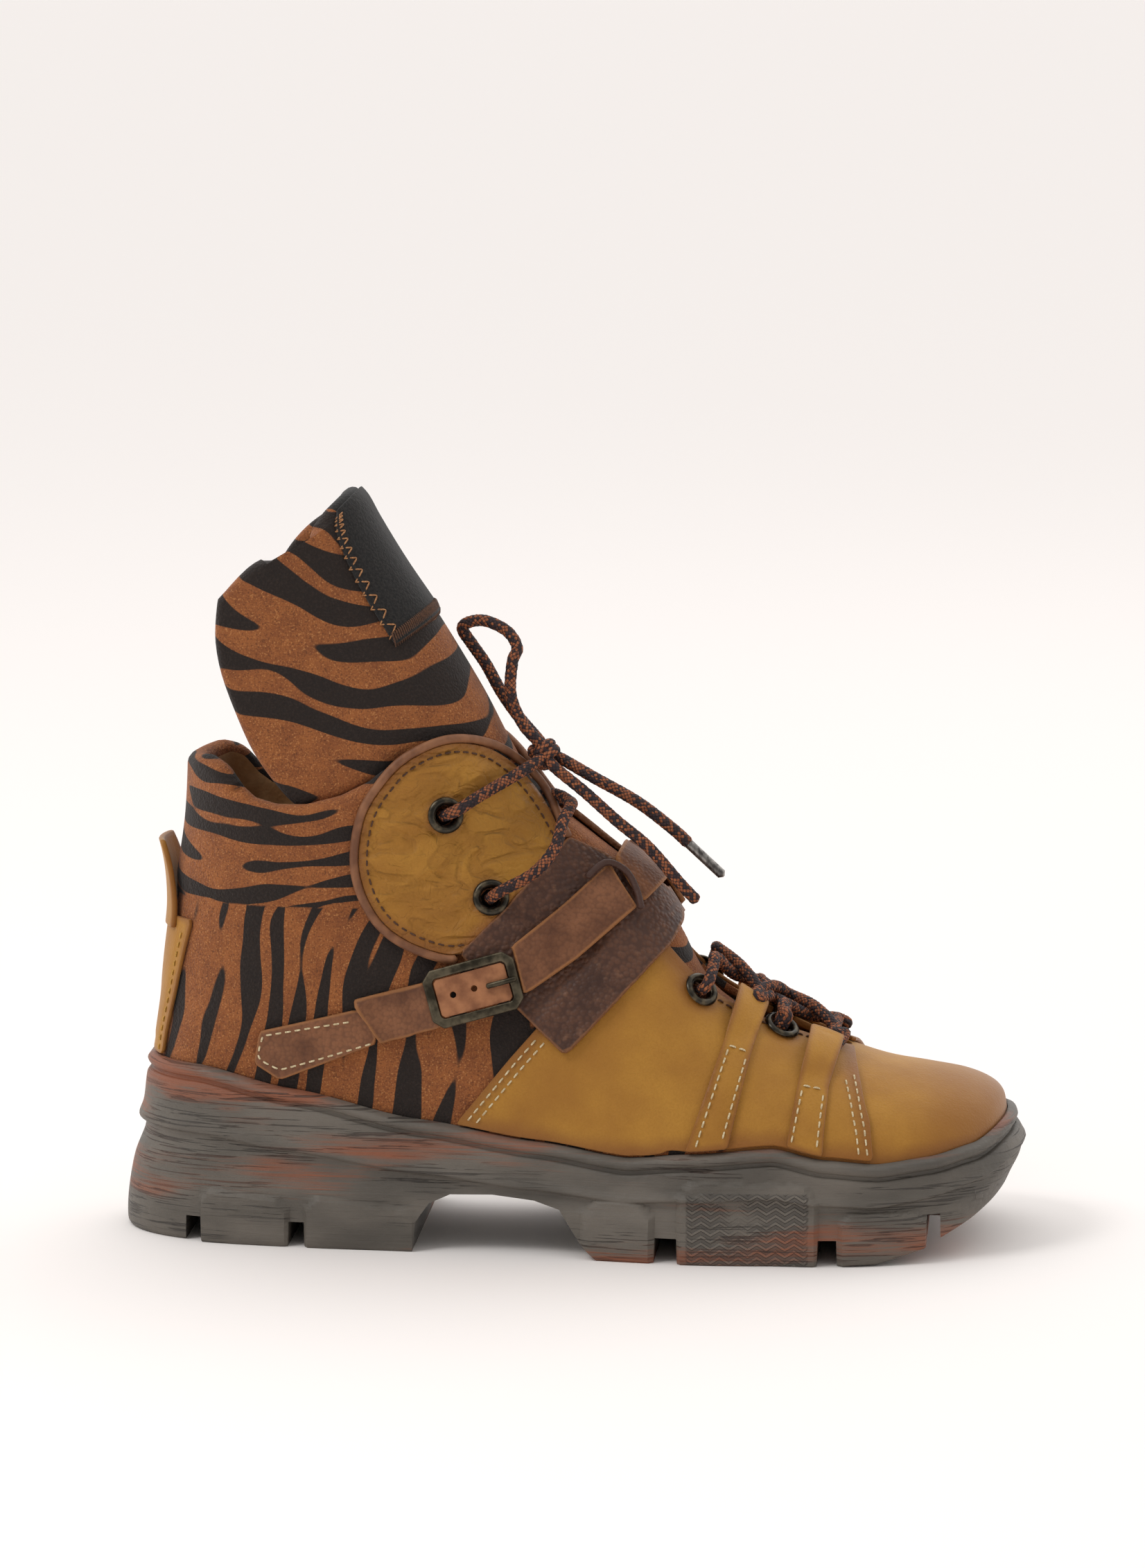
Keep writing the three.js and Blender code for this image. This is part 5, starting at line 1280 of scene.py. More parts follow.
# Overlays: leather panels laid over the upper, each cut to its outline and lasted with it.
# The quarters are yellow nubuck with folded, burnished edges.
QUARTER_THICK = 1.3
FLAP_THICK = 1.7
STRAP_THICK = 1.8
BAND_THICK = 2
PIPING_WIDTH = 2.8
ON_UPPER = CLEARANCE
ON_QUARTER = ON_UPPER + QUARTER_THICK + CLEARANCE
ON_BAND = ON_QUARTER + BAND_THICK + CLEARANCE
ON_BASE = ON_UPPER + STRAP_THICK + CLEARANCE
QUARTER = [
    (0.8, 0.46), (0.822, 0.37), (0.84, 0.28), (0.853, 0.1), (0.3, 0.1), (0.36, 0.27), (0.42, 0.4),
    (0.455, 0.47), (0.53, 0.62), (0.57, 0.82), (0.72, 0.82),
]
FLAP = [
    (0.3, 1.012), (0.342, 1.038), (0.385, 1.018), (0.425, 0.955), (0.462, 0.862), (0.475, 0.8),
    (0.44, 0.7), (0.37, 0.618), (0.315, 0.628), (0.268, 0.682), (0.243, 0.78), (0.248, 0.89),
    (0.272, 0.965),
]
BAND = [
    (0.479, 0.83), (0.52, 0.795), (0.575, 0.735), (0.6, 0.69), (0.607, 0.655), (0.598, 0.62),
    (0.486, 0.413), (0.43, 0.503), (0.36, 0.612), (0.409, 0.697),
]
INNER_BAND = [
    (0.479, 0.9), (0.56, 0.9), (0.59, 0.72), (0.607, 0.655), (0.598, 0.62), (0.486, 0.413),
    (0.43, 0.503), (0.36, 0.612), (0.409, 0.697),
]


def rounded(outline, count):
    """Smooth closed outline through its corners."""
    outline = np.asarray(outline, float)
    closed = np.vstack([outline[-2:], outline, outline[:3]])
    return along(closed, np.linspace(2, 2 + len(outline), count, endpoint=False))


def grown(outline, grow):
    """Outline moved outwards from its middle by millimetres."""
    outline = np.asarray(outline, float)
    flat = side_view(outline)
    arm = flat - flat.mean(axis=0)
    return outline + unit(arm) * grow / [LAST_LENGTH, COLLAR_HEIGHT]


def lies_over(outline, low, high, spread=5.0):
    """Lift that rises from low to high where a piece lies over another one's outline."""
    return lambda points: low + (high - low) * eased(within(outline, points), -spread, 0.4)


def overlay(name, outline, side, lift, thick, look, slot, node, cuts=(), step=1.5, puff=0.0, keep=None,
            groove=0.0, crease=1.0, roll=0.45):
    """Leather piece over the upper's face, within a side-view outline and outside its cuts."""

    def gaps(place, turn):
        points = last_face(place, turn)
        own = keep(points) if keep else np.minimum(within(outline, points), side * (points[:, 1] - SHIFT[1]) - 3)
        for cut in cuts:
            own = np.minimum(own, cut(place, turn, points))
        return own

    net = sheet(gaps, step)
    at = np.array([v.co[:] for v in net.verts])
    edge = gaps(*on_net(at))

    def height(at):
        points = last_face(*on_net(at))
        base = lift(points) if callable(lift) else lift
        return base - crease * crease_depth(points)

    def outer(at):
        own = gaps(*on_net(at))
        swell = puff * eased(own, 0.5, 9) - groove * np.exp(-((own - 2.6) / 0.9) ** 2)
        return offset_face(*on_net(at), height(at) + thick + swell)

    piece, _ = thick_piece(name, net, outer, lambda at: offset_face(*on_net(at), height(at)), edge, roll)
    smooth_by_angle(piece, 42)
    return fit(piece, look, slot, node)


def off_lip(place, turn, points):
    return points[:, 2] - height_at("rim", points[:, 0]) - LIP_GAP


def off_throat(grow):
    return lambda place, turn, points: throat_gap(place, turn, points) - grow


def off_outline(outline, grow=0.0, side=0):
    def gap(place, turn, points):
        own = -within(outline, points) - grow
        return np.where(side * (points[:, 1] - SHIFT[1]) < 0, 99, own) if side else own
    return gap


def off_holes(place, turn, points):
    return eyelet_gap(points, EYELET_BARREL / 2)


flap_line = rounded(FLAP, 72)
yellow = nubuck("yellow_nubuck")
narrow_yellow = nubuck("yellow_nubuck_strip", burnished=2.2)
creased_yellow = nubuck("yellow_nubuck_creased", burnished=4.0, creased=True)
for side, word in SIDES:
    overlay(f"quarter_sewn_{word}", QUARTER, side, ON_UPPER, QUARTER_THICK, yellow, "yellow_nubuck",
            f"quarter_{word}", [off_lip, off_throat(1), off_outline(grown(flap_line, 0.6 + PIPING_WIDTH)), off_holes],
            groove=0.25)

# Ankle flaps: round creased pieces of nubuck with the two upper eyelets, edged with tan piping.
band_of = {OUTER: BAND, INNER: INNER_BAND}
for side, word in SIDES:
    overlay(f"ankle_flap_sewn_{word}", flap_line, side, lies_over(QUARTER, ON_UPPER, ON_UPPER), FLAP_THICK, creased_yellow,
            "yellow_nubuck", f"ankle_flap_{word}", [off_outline(grown(band_of[side], 0.5)), off_holes],
            step=1.2, puff=0.5, groove=0.35)

# Instep band: a wide band of soft brown pebbled leather over the instep, its raw edges showing.
# It lies over the flap's lower corner, the quarter and the suede.
leather = Look("brown_leather", Roughness=0.5, Specular_IOR_Level=0.4)
leather_cloud, leather_pebble = leather.noise(55, 4.0), leather.cells(620)
leather_edge = leather.attribute("edge") + (leather_cloud - 0.5) * 2.0
leather_base = leather.mix(leather_cloud.between(0.3, 0.7), colour("3b2217"), colour("5f3c29"))
leather_base = leather.mix(leather.noise(260, 3.0).between(0.55, 0.75) * 0.4, leather_base, colour("8c6247"))
# The pebble grain's valleys, sunk by the bump, are painted darker (36211a) as painted shade.
leather_base = leather.mix(leather_pebble.between(0.35, 0.8) * 0.55, leather_base, colour("36211a"))
leather_base = leather.mix((1 - leather_edge.between(0.0, 0.7)) * 0.7, leather_base, colour("8a5a35"))
leather.feed("Base Color", leather_base)
leather.feed("Roughness", 0.42 + leather_cloud * 0.2)
leather.bump((1 - leather_pebble.between(0.0, 0.75)) * 0.9 + leather.noise(300, 3.0) * 0.5, 0.35, 0.9)
low_eyelets = {"flap_low": EYELETS["flap_low"]}
for side, word in SIDES:
    overlay(f"instep_band_sewn_{word}", band_of[side], side, lies_over(QUARTER, ON_UPPER + 0.2, ON_QUARTER), BAND_THICK,
            leather, "brown_leather", f"instep_band_{word}",
            [lambda place, turn, points: eyelet_gap(points, 5.9, low_eyelets)], step=1.4, groove=0.0)


# Lace loop straps: two narrow nubuck straps a side over the quarter, stitched down in a box below and free
# above, where the lace passes through them. Their free tops arch over the lace.
LACE_LOOPS = [
    [(0.681, 0.59), (0.723, 0.545), (0.698, 0.405), (0.66, 0.1), (0.607, 0.1), (0.668, 0.43)],
    [(0.766, 0.475), (0.804, 0.425), (0.79, 0.34), (0.782, 0.1), (0.735, 0.1), (0.757, 0.35)],
]
LOOP_FREE_FROM = (0.43, 0.35)


def on_foot(flat, side, lift=0.0):
    """Points over the last's face at points of the side view, and the face's directions there."""
    points, ways = [], []
    for x, z in np.asarray(flat, float):
        hit, normal, _, _ = foot_tree.ray_cast(Vector((x, side * 150, z)), Vector((0, -side, 0)))
        if hit is None:
            hit, normal, _, _ = foot_tree.find_nearest(Vector((x, SHIFT[1] + side * 9, z)))
        normal = np.array(normal)
        normal = normal if normal @ np.array(foot_way(hit)) > 0 else -normal
        points.append(np.array(hit) + normal * lift)
        ways.append(normal)
    return np.array(points), np.array(ways)


def beyond_throat(place, turn, points):
    share = (points[:, 0] - SHIFT[0] + HEEL_AT) / LAST_LENGTH
    return np.where(share > 0.5, np.abs(points[:, 1] - SHIFT[1]) - THROAT_HALF_WIDTH, 99)


for k, outline in enumerate(LACE_LOOPS):
    outline = np.array(outline)
    free_from = LOOP_FREE_FROM[k] * COLLAR_HEIGHT
    top = outline[:, 1].max() * COLLAR_HEIGHT

    def strap_lift(points, free_from=free_from, top=top):
        f = np.clip((points[:, 2] - free_from) / (top - free_from), 0, 1)
        return ON_QUARTER - 0.2 + 3.4 * np.sin(math.pi * f ** 0.8) ** 2

    for side, word in SIDES:
        overlay(f"lace_loop_strap_{k + 1}_sewn_{word}", outline, side, strap_lift, QUARTER_THICK, narrow_yellow,
                "yellow_nubuck", f"lace_loop_strap_{k + 1}_{word}", [off_lip, beyond_throat], step=1.0,
                groove=0.2)


# Backstay: a nubuck strip up the heel's seam whose top is folded into a pull tab that stands off the collar.
# The tab is cut wide where it is sewn on and narrower at its free end.
BACKSTAY = [
    (-24, 0.12), (-15, 0.35), (-17, 0.5), (-20, 0.66), (20, 0.66), (17, 0.5), (15, 0.35),
    (24, 0.12),
]
PULL_TAB_WIDTH = 30
PULL_TAB_HEIGHT = 24
PULL_TAB_LEAN = 6
backstay_flat = np.array([(y + SHIFT[1], z * COLLAR_HEIGHT) for y, z in BACKSTAY])


def on_heel(points):
    own = inside(backstay_flat, points[:, [1, 2]])
    return np.where(points[:, 0] > -90, -20, own)


backstay = overlay("backstay_sewn", BACKSTAY, OUTER, ON_UPPER, QUARTER_THICK, narrow_yellow, "yellow_nubuck", "backstay",
                   [off_lip], step=1.2, keep=on_heel, groove=0.25)


def heel_line(height):
    start = np.full(len(height), heel_place)
    places = halved(start, start * 0 + 1, lambda p: last_face(p, start * 0 + 1.0)[:, 2] < height)
    return last_face(places, start * 0 + 1.0)[:, 0]


def tab_face(at, over):
    """Face of the pull tab: run 0 to 1 up it, turn -1 to 1 across it."""
    turn, run = at[:, 0], at[:, 2]
    round_ = 0.33 * BALL_WIDTH
    base = BACKSTAY[3][1] * COLLAR_HEIGHT - 3
    z = base + run * (PULL_TAB_HEIGHT + 3)
    out = ON_UPPER + 0.3 + PULL_TAB_LEAN * run ** 2
    half = PULL_TAB_WIDTH / 2 * (1 - 0.35 * run ** 2)
    angle = turn * half / round_
    radius = round_ + over
    middle = heel_line(z) - out + round_
    return np.stack([middle - radius * np.cos(angle), SHIFT[1] + radius * np.sin(angle), z], axis=-1)


net = bmesh.new()
grid = [[net.verts.new((t, 0, p)) for t in np.linspace(-1, 1, 25)] for p in np.linspace(0, 1, 21)]
for j in range(20):
    for i in range(24):
        net.faces.new((grid[j][i], grid[j][i + 1], grid[j + 1][i + 1], grid[j + 1][i]))
tab_at = np.array([v.co[:] for v in net.verts])
tab_edge = np.minimum((1 - np.abs(tab_at[:, 0])) * 14, (1 - tab_at[:, 2]) * PULL_TAB_HEIGHT)
pull_tab, _ = thick_piece("pull_tab", net, lambda at: tab_face(at, STRAP_THICK), lambda at: tab_face(at, 0.0),
                          tab_edge, 0.5)
fit(pull_tab, narrow_yellow, "yellow_nubuck", "backstay")


# Buckled strap: brown leather with raw edges. Its base is stitched to the suede, the tail lies on the base's
# end and passes the buckle's bar, and the strap runs from the buckle up over the instep band.
STRAP_BASE = [
    (0.125, 0.445), (0.118, 0.38), (0.147, 0.348), (0.265, 0.432), (0.243, 0.497),
]
STRAP_TAIL = [
    (0.236, 0.516), (0.345, 0.565), (0.355, 0.475), (0.269, 0.432),
]
BUCKLED_STRAP = [
    (0.38, 0.57), (0.479, 0.703), (0.523, 0.768), (0.556, 0.69), (0.494, 0.6), (0.4, 0.49),
]
CROSS_STRAP = [
    (0.53, 0.776), (0.563, 0.698), (0.64, 0.83), (0.58, 0.93),
]
INNER_STRAP = [
    (0.41, 0.18), (0.46, 0.16), (0.64, 0.83), (0.58, 0.93),
]
BUCKLE_AT = (0.377, 0.541)
BUCKLE_TURN = 0.28
BUCKLE_LENGTH = 30
BUCKLE_WIDTH = 19
BUCKLE_BAR = 3
BUCKLE_THICK = 2.2


def basis_on_foot(x, z, side, offset, turned=0.0):
    """Seat on the last's face at a point of the side view, and its three directions."""
    place, turn = find_on_last(x, z, side)
    at = np.array([place]), np.array([turn])
    normal = last_normal(*at)[0]
    seat = last_face(*at)[0] + normal * offset
    across = np.array([math.cos(turned), 0, math.sin(turned)])
    across = unit(across - normal * across.dot(normal))
    return seat, across, np.cross(normal, across), normal


buckle_seat, buckle_along, buckle_up, buckle_out = basis_on_foot(*BUCKLE_AT, OUTER, 0, BUCKLE_TURN)


def in_buckle(points, grow):
    """How far points lie inside the buckle's rectangle, seen along its own direction."""
    off = points - buckle_seat
    a = BUCKLE_LENGTH / 2 + grow - np.abs(off @ buckle_along)
    b = BUCKLE_WIDTH / 2 + grow - np.abs(off @ buckle_up)
    return np.minimum(a, b)


def off_buckle(place, turn, points):
    return -in_buckle(points, 0.3)


strap_leather = Look("strap_leather", Roughness=0.6, Specular_IOR_Level=0.35)
strap_cloud, strap_pebble = strap_leather.noise(70, 4.0), strap_leather.cells(800)
strap_edge = strap_leather.attribute("edge") + (strap_cloud - 0.5) * 2.0
strap_base_tone = strap_leather.mix(strap_cloud.between(0.3, 0.7), colour("5a3520"), colour("87583a"))
# The pebble grain's valleys, sunk by the bump, are painted darker (43281b) as painted shade.
strap_base_tone = strap_leather.mix(strap_pebble.between(0.4, 0.85) * 0.35, strap_base_tone, colour("43281b"))
strap_base_tone = strap_leather.mix((1 - strap_edge.between(0.0, 0.8)) * 0.75, strap_base_tone, colour("9c683c"))
strap_leather.feed("Base Color", strap_base_tone)
strap_leather.bump((1 - strap_pebble.between(0.0, 0.75)) * 0.6 + strap_leather.noise(300, 3.0) * 0.6, 0.28, 0.9)
overlay("strap_base_sewn", STRAP_BASE, OUTER, ON_UPPER, STRAP_THICK, strap_leather, "brown_leather",
        "strap_base", step=1.0, groove=0.25)


def tail_lift(points):
    on_base = eased(within(STRAP_BASE, points), -5, 0.4)
    near_buckle = eased(in_buckle(points, 4), -1, 3)
    return ON_UPPER + 0.2 + (ON_BASE - ON_UPPER) * np.maximum(on_base, 0.7 * near_buckle)


def off_low_buckle(place, turn, points):
    return -in_buckle(points, -2.0)


overlay("strap_tail_laid", STRAP_TAIL, OUTER, tail_lift, STRAP_THICK, strap_leather, "brown_leather",
        "strap_tail", [off_outline(grown(BAND, 0.5)), off_low_buckle], step=1.0)


def strap_lift_up(points):
    return ON_QUARTER + (ON_BAND - ON_QUARTER) * eased(within(BAND, points), -4, 0.4)


overlay("buckled_strap_laid", BUCKLED_STRAP, OUTER, strap_lift_up, STRAP_THICK, strap_leather, "brown_leather",
        "buckled_strap", [off_buckle], step=1.0, puff=0.2)


def across_ridge(points):
    outer = np.minimum(within(CROSS_STRAP, points), -within(BUCKLED_STRAP, points) - 0.4)
    return np.where(points[:, 1] < SHIFT[1], outer, within(INNER_STRAP, points))


def cross_lift(points):
    inner_low = eased(points[:, 2], 40, 60)
    over_band = np.where(points[:, 1] < SHIFT[1], within(BAND, points), within(INNER_BAND, points))
    return ON_QUARTER + 0.1 + (ON_BAND - ON_QUARTER) * eased(over_band, -5, 0.4) * inner_low


overlay("cross_strap_laid", CROSS_STRAP, OUTER, cross_lift, STRAP_THICK, strap_leather, "brown_leather",
        "cross_strap", [off_lip], step=1.2, keep=across_ridge)


# Buckle: a cast frame of old brass with cut corners, its prong, and the tan strap tip that lies in the frame
# with two holes punched in it.
def plate(name, outlines, low, high, rim=0.5):
    """Plate on the buckle's seat with rounded edges, from an outline and an optional window."""
    net = bmesh.new()
    for outline in outlines:
        ring = [net.verts.new(buckle_seat + buckle_along * u + buckle_up * v + buckle_out * low) for u, v in outline]
        for k in range(len(ring)):
            net.edges.new((ring[k], ring[(k + 1) % len(ring)]))
    bmesh.ops.triangle_fill(net, use_beauty=True, use_dissolve=True, edges=net.edges)
    wall = bmesh.ops.extrude_face_region(net, geom=net.faces[:])
    lifted = [v for v in wall["geom"] if isinstance(v, bmesh.types.BMVert)]
    bmesh.ops.translate(net, verts=lifted, vec=Vector(buckle_out * (high - low)))
    bmesh.ops.recalc_face_normals(net, faces=net.faces)
    sharp = [e for e in net.edges if len(e.link_faces) == 2 and e.calc_face_angle() > 0.7]
    bmesh.ops.bevel(net, geom=sharp, offset=rim, segments=3, affect="EDGES", profile=0.6)
    data = bpy.data.meshes.new(name)
    net.to_mesh(data)
    net.free()
    data.transform(Matrix.Scale(MM, 4))
    piece = bpy.data.objects.new(name, data)
    bpy.context.collection.objects.link(piece)
    smooth_by_angle(piece, 40)
    return piece


def octagon(long, wide, corner):
    a, b = long / 2, wide / 2
    return [(-a, -b + corner), (-a + corner, -b), (a - corner, -b), (a, -b + corner),
            (a, b - corner), (a - corner, b), (-a + corner, b), (-a, b - corner)]


def ring_of(u, v, radius, count=20):
    turns = np.linspace(0, 2 * math.pi, count, endpoint=False)
    return [(u + radius * math.cos(t), v + radius * math.sin(t)) for t in turns]


FRAME_SEAT = ON_BASE + STRAP_THICK + CLEARANCE
brass = Look("old_brass", Metallic=0.9, Roughness=0.42)
brass_wear = brass.noise(260, 4.0).between(0.35, 0.7)
brass.feed("Base Color", brass.mix(brass_wear, colour("3a352b"), colour("6b6250")))
brass.feed("Roughness", 0.34 + brass_wear * 0.2)
brass.bump(brass.noise(900, 3.0), 0.08)
window = BUCKLE_LENGTH - 2 * BUCKLE_BAR, BUCKLE_WIDTH - 2 * BUCKLE_BAR
frame_outlines = [octagon(BUCKLE_LENGTH, BUCKLE_WIDTH, BUCKLE_BAR), octagon(*window, 1)]
buckle_frame = plate("buckle_frame_cast", frame_outlines, FRAME_SEAT, FRAME_SEAT + BUCKLE_THICK, 0.7)
fit(buckle_frame, brass, "old_brass", "buckle_frame")
tan_strap = Look("tan_strap", Roughness=0.62)
tan_cloud = tan_strap.noise(200, 4.0)
tan_strap.feed("Base Color", tan_strap.mix(tan_cloud.between(0.3, 0.7), colour("7c4a2a"), colour("a97048")))
tan_strap.bump(tan_cloud * 0.5 + tan_strap.cells(900) * 0.4, 0.2, 0.8)
tip_outlines = [octagon(window[0] - 0.6, window[1] - 0.6, 1), ring_of(-6.5, 0.2, 1.0), ring_of(0.5, 0.4, 1.0)]
strap_tip = plate("strap_tip_in_buckle", tip_outlines, FRAME_SEAT, FRAME_SEAT + STRAP_THICK, 0.35)
fit(strap_tip, tan_strap, "tan_leather", "strap_tip")
PRONG_THICK = 1.8
prong_at = FRAME_SEAT + BUCKLE_THICK + CLEARANCE + PRONG_THICK / 2
prong_route = [buckle_seat + buckle_along * u + buckle_out * (prong_at - sink)
               for u, sink in ((4.5, 1.3), (6.5, 0.3), (10, 0.0), (14.5, 0.0))]
prong = rope("buckle_prong_bent", prong_route, PRONG_THICK, 16, 0.5, braid=0.0)
fit(prong, brass, "old_brass", "buckle_prong")

# Thong: a dark cord of leather knotted where the strap meets the cross strap.
TIE_ROUTE = [
    (0.499, 0.745), (0.518, 0.766), (0.54, 0.748), (0.553, 0.715), (0.56, 0.68),
]
thong_flat = side_view(TIE_ROUTE)
thong_points, thong_ways = on_foot(thong_flat, OUTER, ON_BAND + STRAP_THICK + CLEARANCE + 1.0)
thong_look = Look("thong_leather", Roughness=0.6, Base_Color=colour("3f2317"))
thong_look.bump(thong_look.noise(700, 3.0), 0.3)
thong = rope("tie_thong_laid", thong_points, 2.2, 16, 0.5, braid=0.05)
fit(thong, thong_look, "brown_leather", "tie_thong")


# Piping: a narrow roll of tan leather round each ankle flap.
# It ends where the flap goes under the instep band.
piping_leather = Look("piping_leather", Roughness=0.6)
piping_cloud = piping_leather.noise(160, 3.0)
piping_leather.feed("Base Color", piping_leather.mix(piping_cloud.between(0.3, 0.7), colour("6a4025"),
                                                     colour("8f5f3d")))
piping_leather.bump(piping_cloud * 0.5 + piping_leather.cells(900) * 0.4, 0.18, 0.8)
for side, word in SIDES:
    line = side_view(grown(flap_line, 0.3 + PIPING_WIDTH / 2))
    clear = within(band_of[side], np.stack([line[:, 0], line[:, 0] * 0, line[:, 1]], axis=1)) < 0.6
    first = int(np.argmax(clear & ~np.roll(clear, 1)))
    order = np.roll(np.arange(len(line)), -first)
    run = [k for k in order if clear[k]]
    points, ways = on_foot(line[run], side, ON_UPPER + 1.35)
    piping = rope(f"flap_piping_sewn_{word}", points, PIPING_WIDTH, 14, 0.8, braid=0.0)
    fit(piping, piping_leather, "tan_leather", f"flap_piping_{word}")


# Eyelets: blackened metal rings, each with a rolled rim outside and a barrel through the leather.
# They are spun from one profile and set on the face where each hole is.
EYELET_WIDE = 11.7
EYELET_BORE = 6.6
EYELET_RIM = 1.1
EYELET_ON = {"flap_top": ON_UPPER + FLAP_THICK, "flap_low": ON_UPPER + FLAP_THICK,
             "quarter_top": ON_UPPER + QUARTER_THICK, "quarter_low": ON_UPPER + QUARTER_THICK}
gunmetal = Look("gunmetal", Metallic=0.9, Roughness=0.35)
gun_wear = gunmetal.noise(400, 4.0).between(0.4, 0.75)
gunmetal.feed("Base Color", gunmetal.mix(gun_wear, colour("38352f"), colour("6a5f4c")))
gunmetal.feed("Roughness", 0.28 + gun_wear * 0.25)
for side, word in SIDES:
    for name, (x, z) in EYELETS.items():
        on = EYELET_ON[name]
        seat, across, upward, out = basis_on_foot(x, z, side, on)
        foot_end, r0, r1, r2 = -(on + 0.7 * UPPER_WALL), EYELET_BORE / 2, EYELET_BARREL / 2, EYELET_WIDE / 2
        profile = [(r0, foot_end), (r1, foot_end), (r1, 0.35), (r2 - 0.2, 0.3), (r2, 0.55), (r2 - 0.1, 1.0),
                   (r2 - 0.7, 1.4), (r2 - 1.3, 1.6), (r0 + 0.8, 1.45), (r0 + 0.25, 1.1), (r0, 0.5), (r0, -0.6)]
        rings = []
        for angle in np.linspace(0, 2 * math.pi, 40, endpoint=False):
            way = across * math.cos(angle) + upward * math.sin(angle)
            rings.append([seat + way * r + out * h for r, h in profile])
        count = len(profile)
        faces = [(j * count + i, j * count + (i + 1) % count, (j + 1) % 40 * count + (i + 1) % count,
                  (j + 1) % 40 * count + i) for j in range(40) for i in range(count)]
        eyelet = new_mesh(f"eyelet_{name}_{word}_ring", np.array(rings).reshape(-1, 3), faces)
        net = bmesh.new()
        net.from_mesh(eyelet.data)
        bmesh.ops.recalc_face_normals(net, faces=net.faces)
        net.to_mesh(eyelet.data)
        net.free()
        smooth_by_angle(eyelet, 50)
        fit(eyelet, gunmetal, "gunmetal", f"eyelet_{name}_{word}")


# Lacing: the lace goes through both lower eyelets and the loop straps and crosses over the throat.
# Above, it comes out of the flaps' lower eyelets, crosses under the knot and leaves the top eyelets for it.
LACE_EDGES = [0.79, 0.728, 0.697, 0.642]
EDGE_TURN = 0.085
STRAND_ROUTE = [(0.339, 0.895), (0.372, 0.928), (0.405, 0.955)]
STRAND_LIFT = 3.9
STRAND_ENDS = {"outer": (-13.1, -10.9, 154.2), "inner": (-12.5, -0.9, 154.8)}
LACE_GOALS = [(84, 63), (65, 69), (61, 78), (39, 82)]
CROSSING_UNDER = [
    (-24.5, -38, 113.3), (-12.5, -36, 122), (-6.4, -30, 128.9), (-4.4, -22, 136.5), (-2.9, -12, 140.5),
    (-8.5, -4, 142.3), (-17, 4, 140),
]


def over_edge(share, side, lift, turn=EDGE_TURN):
    place = np.array([ridge_place(share)])
    return offset_face(place, np.array([-side * turn]), lift)[0]


def to_goal(k, side):
    """Way of the lace from the throat's edge to its eyelet, or in under its loop strap."""
    x, z = LACE_GOALS[k]
    at = [(x + SHIFT[0], z)]
    near = on_foot(at, side, 5.2)[0][0]
    way = on_foot(at, side)[1][0]
    if k in (1, 3):
        name = "quarter_low" if k == 1 else "quarter_top"
        seat, _, _, out = basis_on_foot(*EYELETS[name], side, 0)
        return [seat + out * 4.6 + (near - seat) * 0.2, seat + out * 1.0, seat - out * 5]
    down = on_foot([(x + SHIFT[0] - 4, z - 3)], side, ON_QUARTER + 1.6)[0][0]
    return [near - way * 0.4, down]


bar = [over_edge(LACE_EDGES[0], OUTER, 5.0)]
bar = to_goal(0, OUTER)[::-1] + bar + [over_edge(LACE_EDGES[0], INNER, 5.2, 0.0)]
bar += [over_edge(LACE_EDGES[0], INNER, 5.0)] + to_goal(0, INNER)
fit(rope("lace_bar_low", bar, LACE_THICK), lace_look, "round_lace", "lace_crossings")
for k in range(3):
    for side, word in SIDES:
        low, high = LACE_EDGES[k], LACE_EDGES[k + 1]
        lift = 6.6 if (side == OUTER) == (k % 2 == 0) else 3.2
        route = [over_edge(low, side, -1.5, 0.12), over_edge(low, side, 3.6, 0.105)]
        route += [over_edge(low, side, 5.2, 0.06), over_edge((low + high) / 2, side, lift, 0.0)]
        route += [over_edge(high, -side, 5.4, 0.06), over_edge(high, -side, 5.8, 0.105)] + to_goal(k + 1, -side)
        fit(rope(f"lace_crossing_{k + 1}_{word}", route, LACE_THICK), lace_look, "round_lace", "lace_crossings")
for side, word in SIDES:
    seat, _, _, out = basis_on_foot(*EYELETS["flap_top"], side, 0)
    route = [seat - out * 5, seat + out * 1.5]
    for x, z in STRAND_ROUTE[1:]:
        place, turn = find_on_last(x, z, side)
        route.append(offset_face(np.array([place]), np.array([turn]), ON_UPPER + FLAP_THICK + STRAND_LIFT)[0])
    first = (seat * 2 + route[-2]) / 3 + out * 4.6
    route = route[:2] + [first] + route[2:] + [shifted(STRAND_ENDS[word]), shifted(KNOT_AT)]
    fit(rope(f"lace_strand_to_knot_{word}", route, LACE_THICK), lace_look, "round_lace", f"lace_strand_{word}")
    under = np.array(CROSSING_UNDER, float)
    if side == INNER:
        under[:, 1] *= -1
        under[3:] += [-1.6, 0, -3.4]
    under = shifted(under)
    seat, _, _, out = basis_on_foot(*EYELETS["flap_low"], side, 0)
    route = [seat - out * 5, seat + out * 1.5, seat + out * 4.8 + (under[1] - seat) * 0.25] + list(under[1:])
    fit(rope(f"lace_crossing_high_{word}", route, LACE_THICK), lace_look, "round_lace")


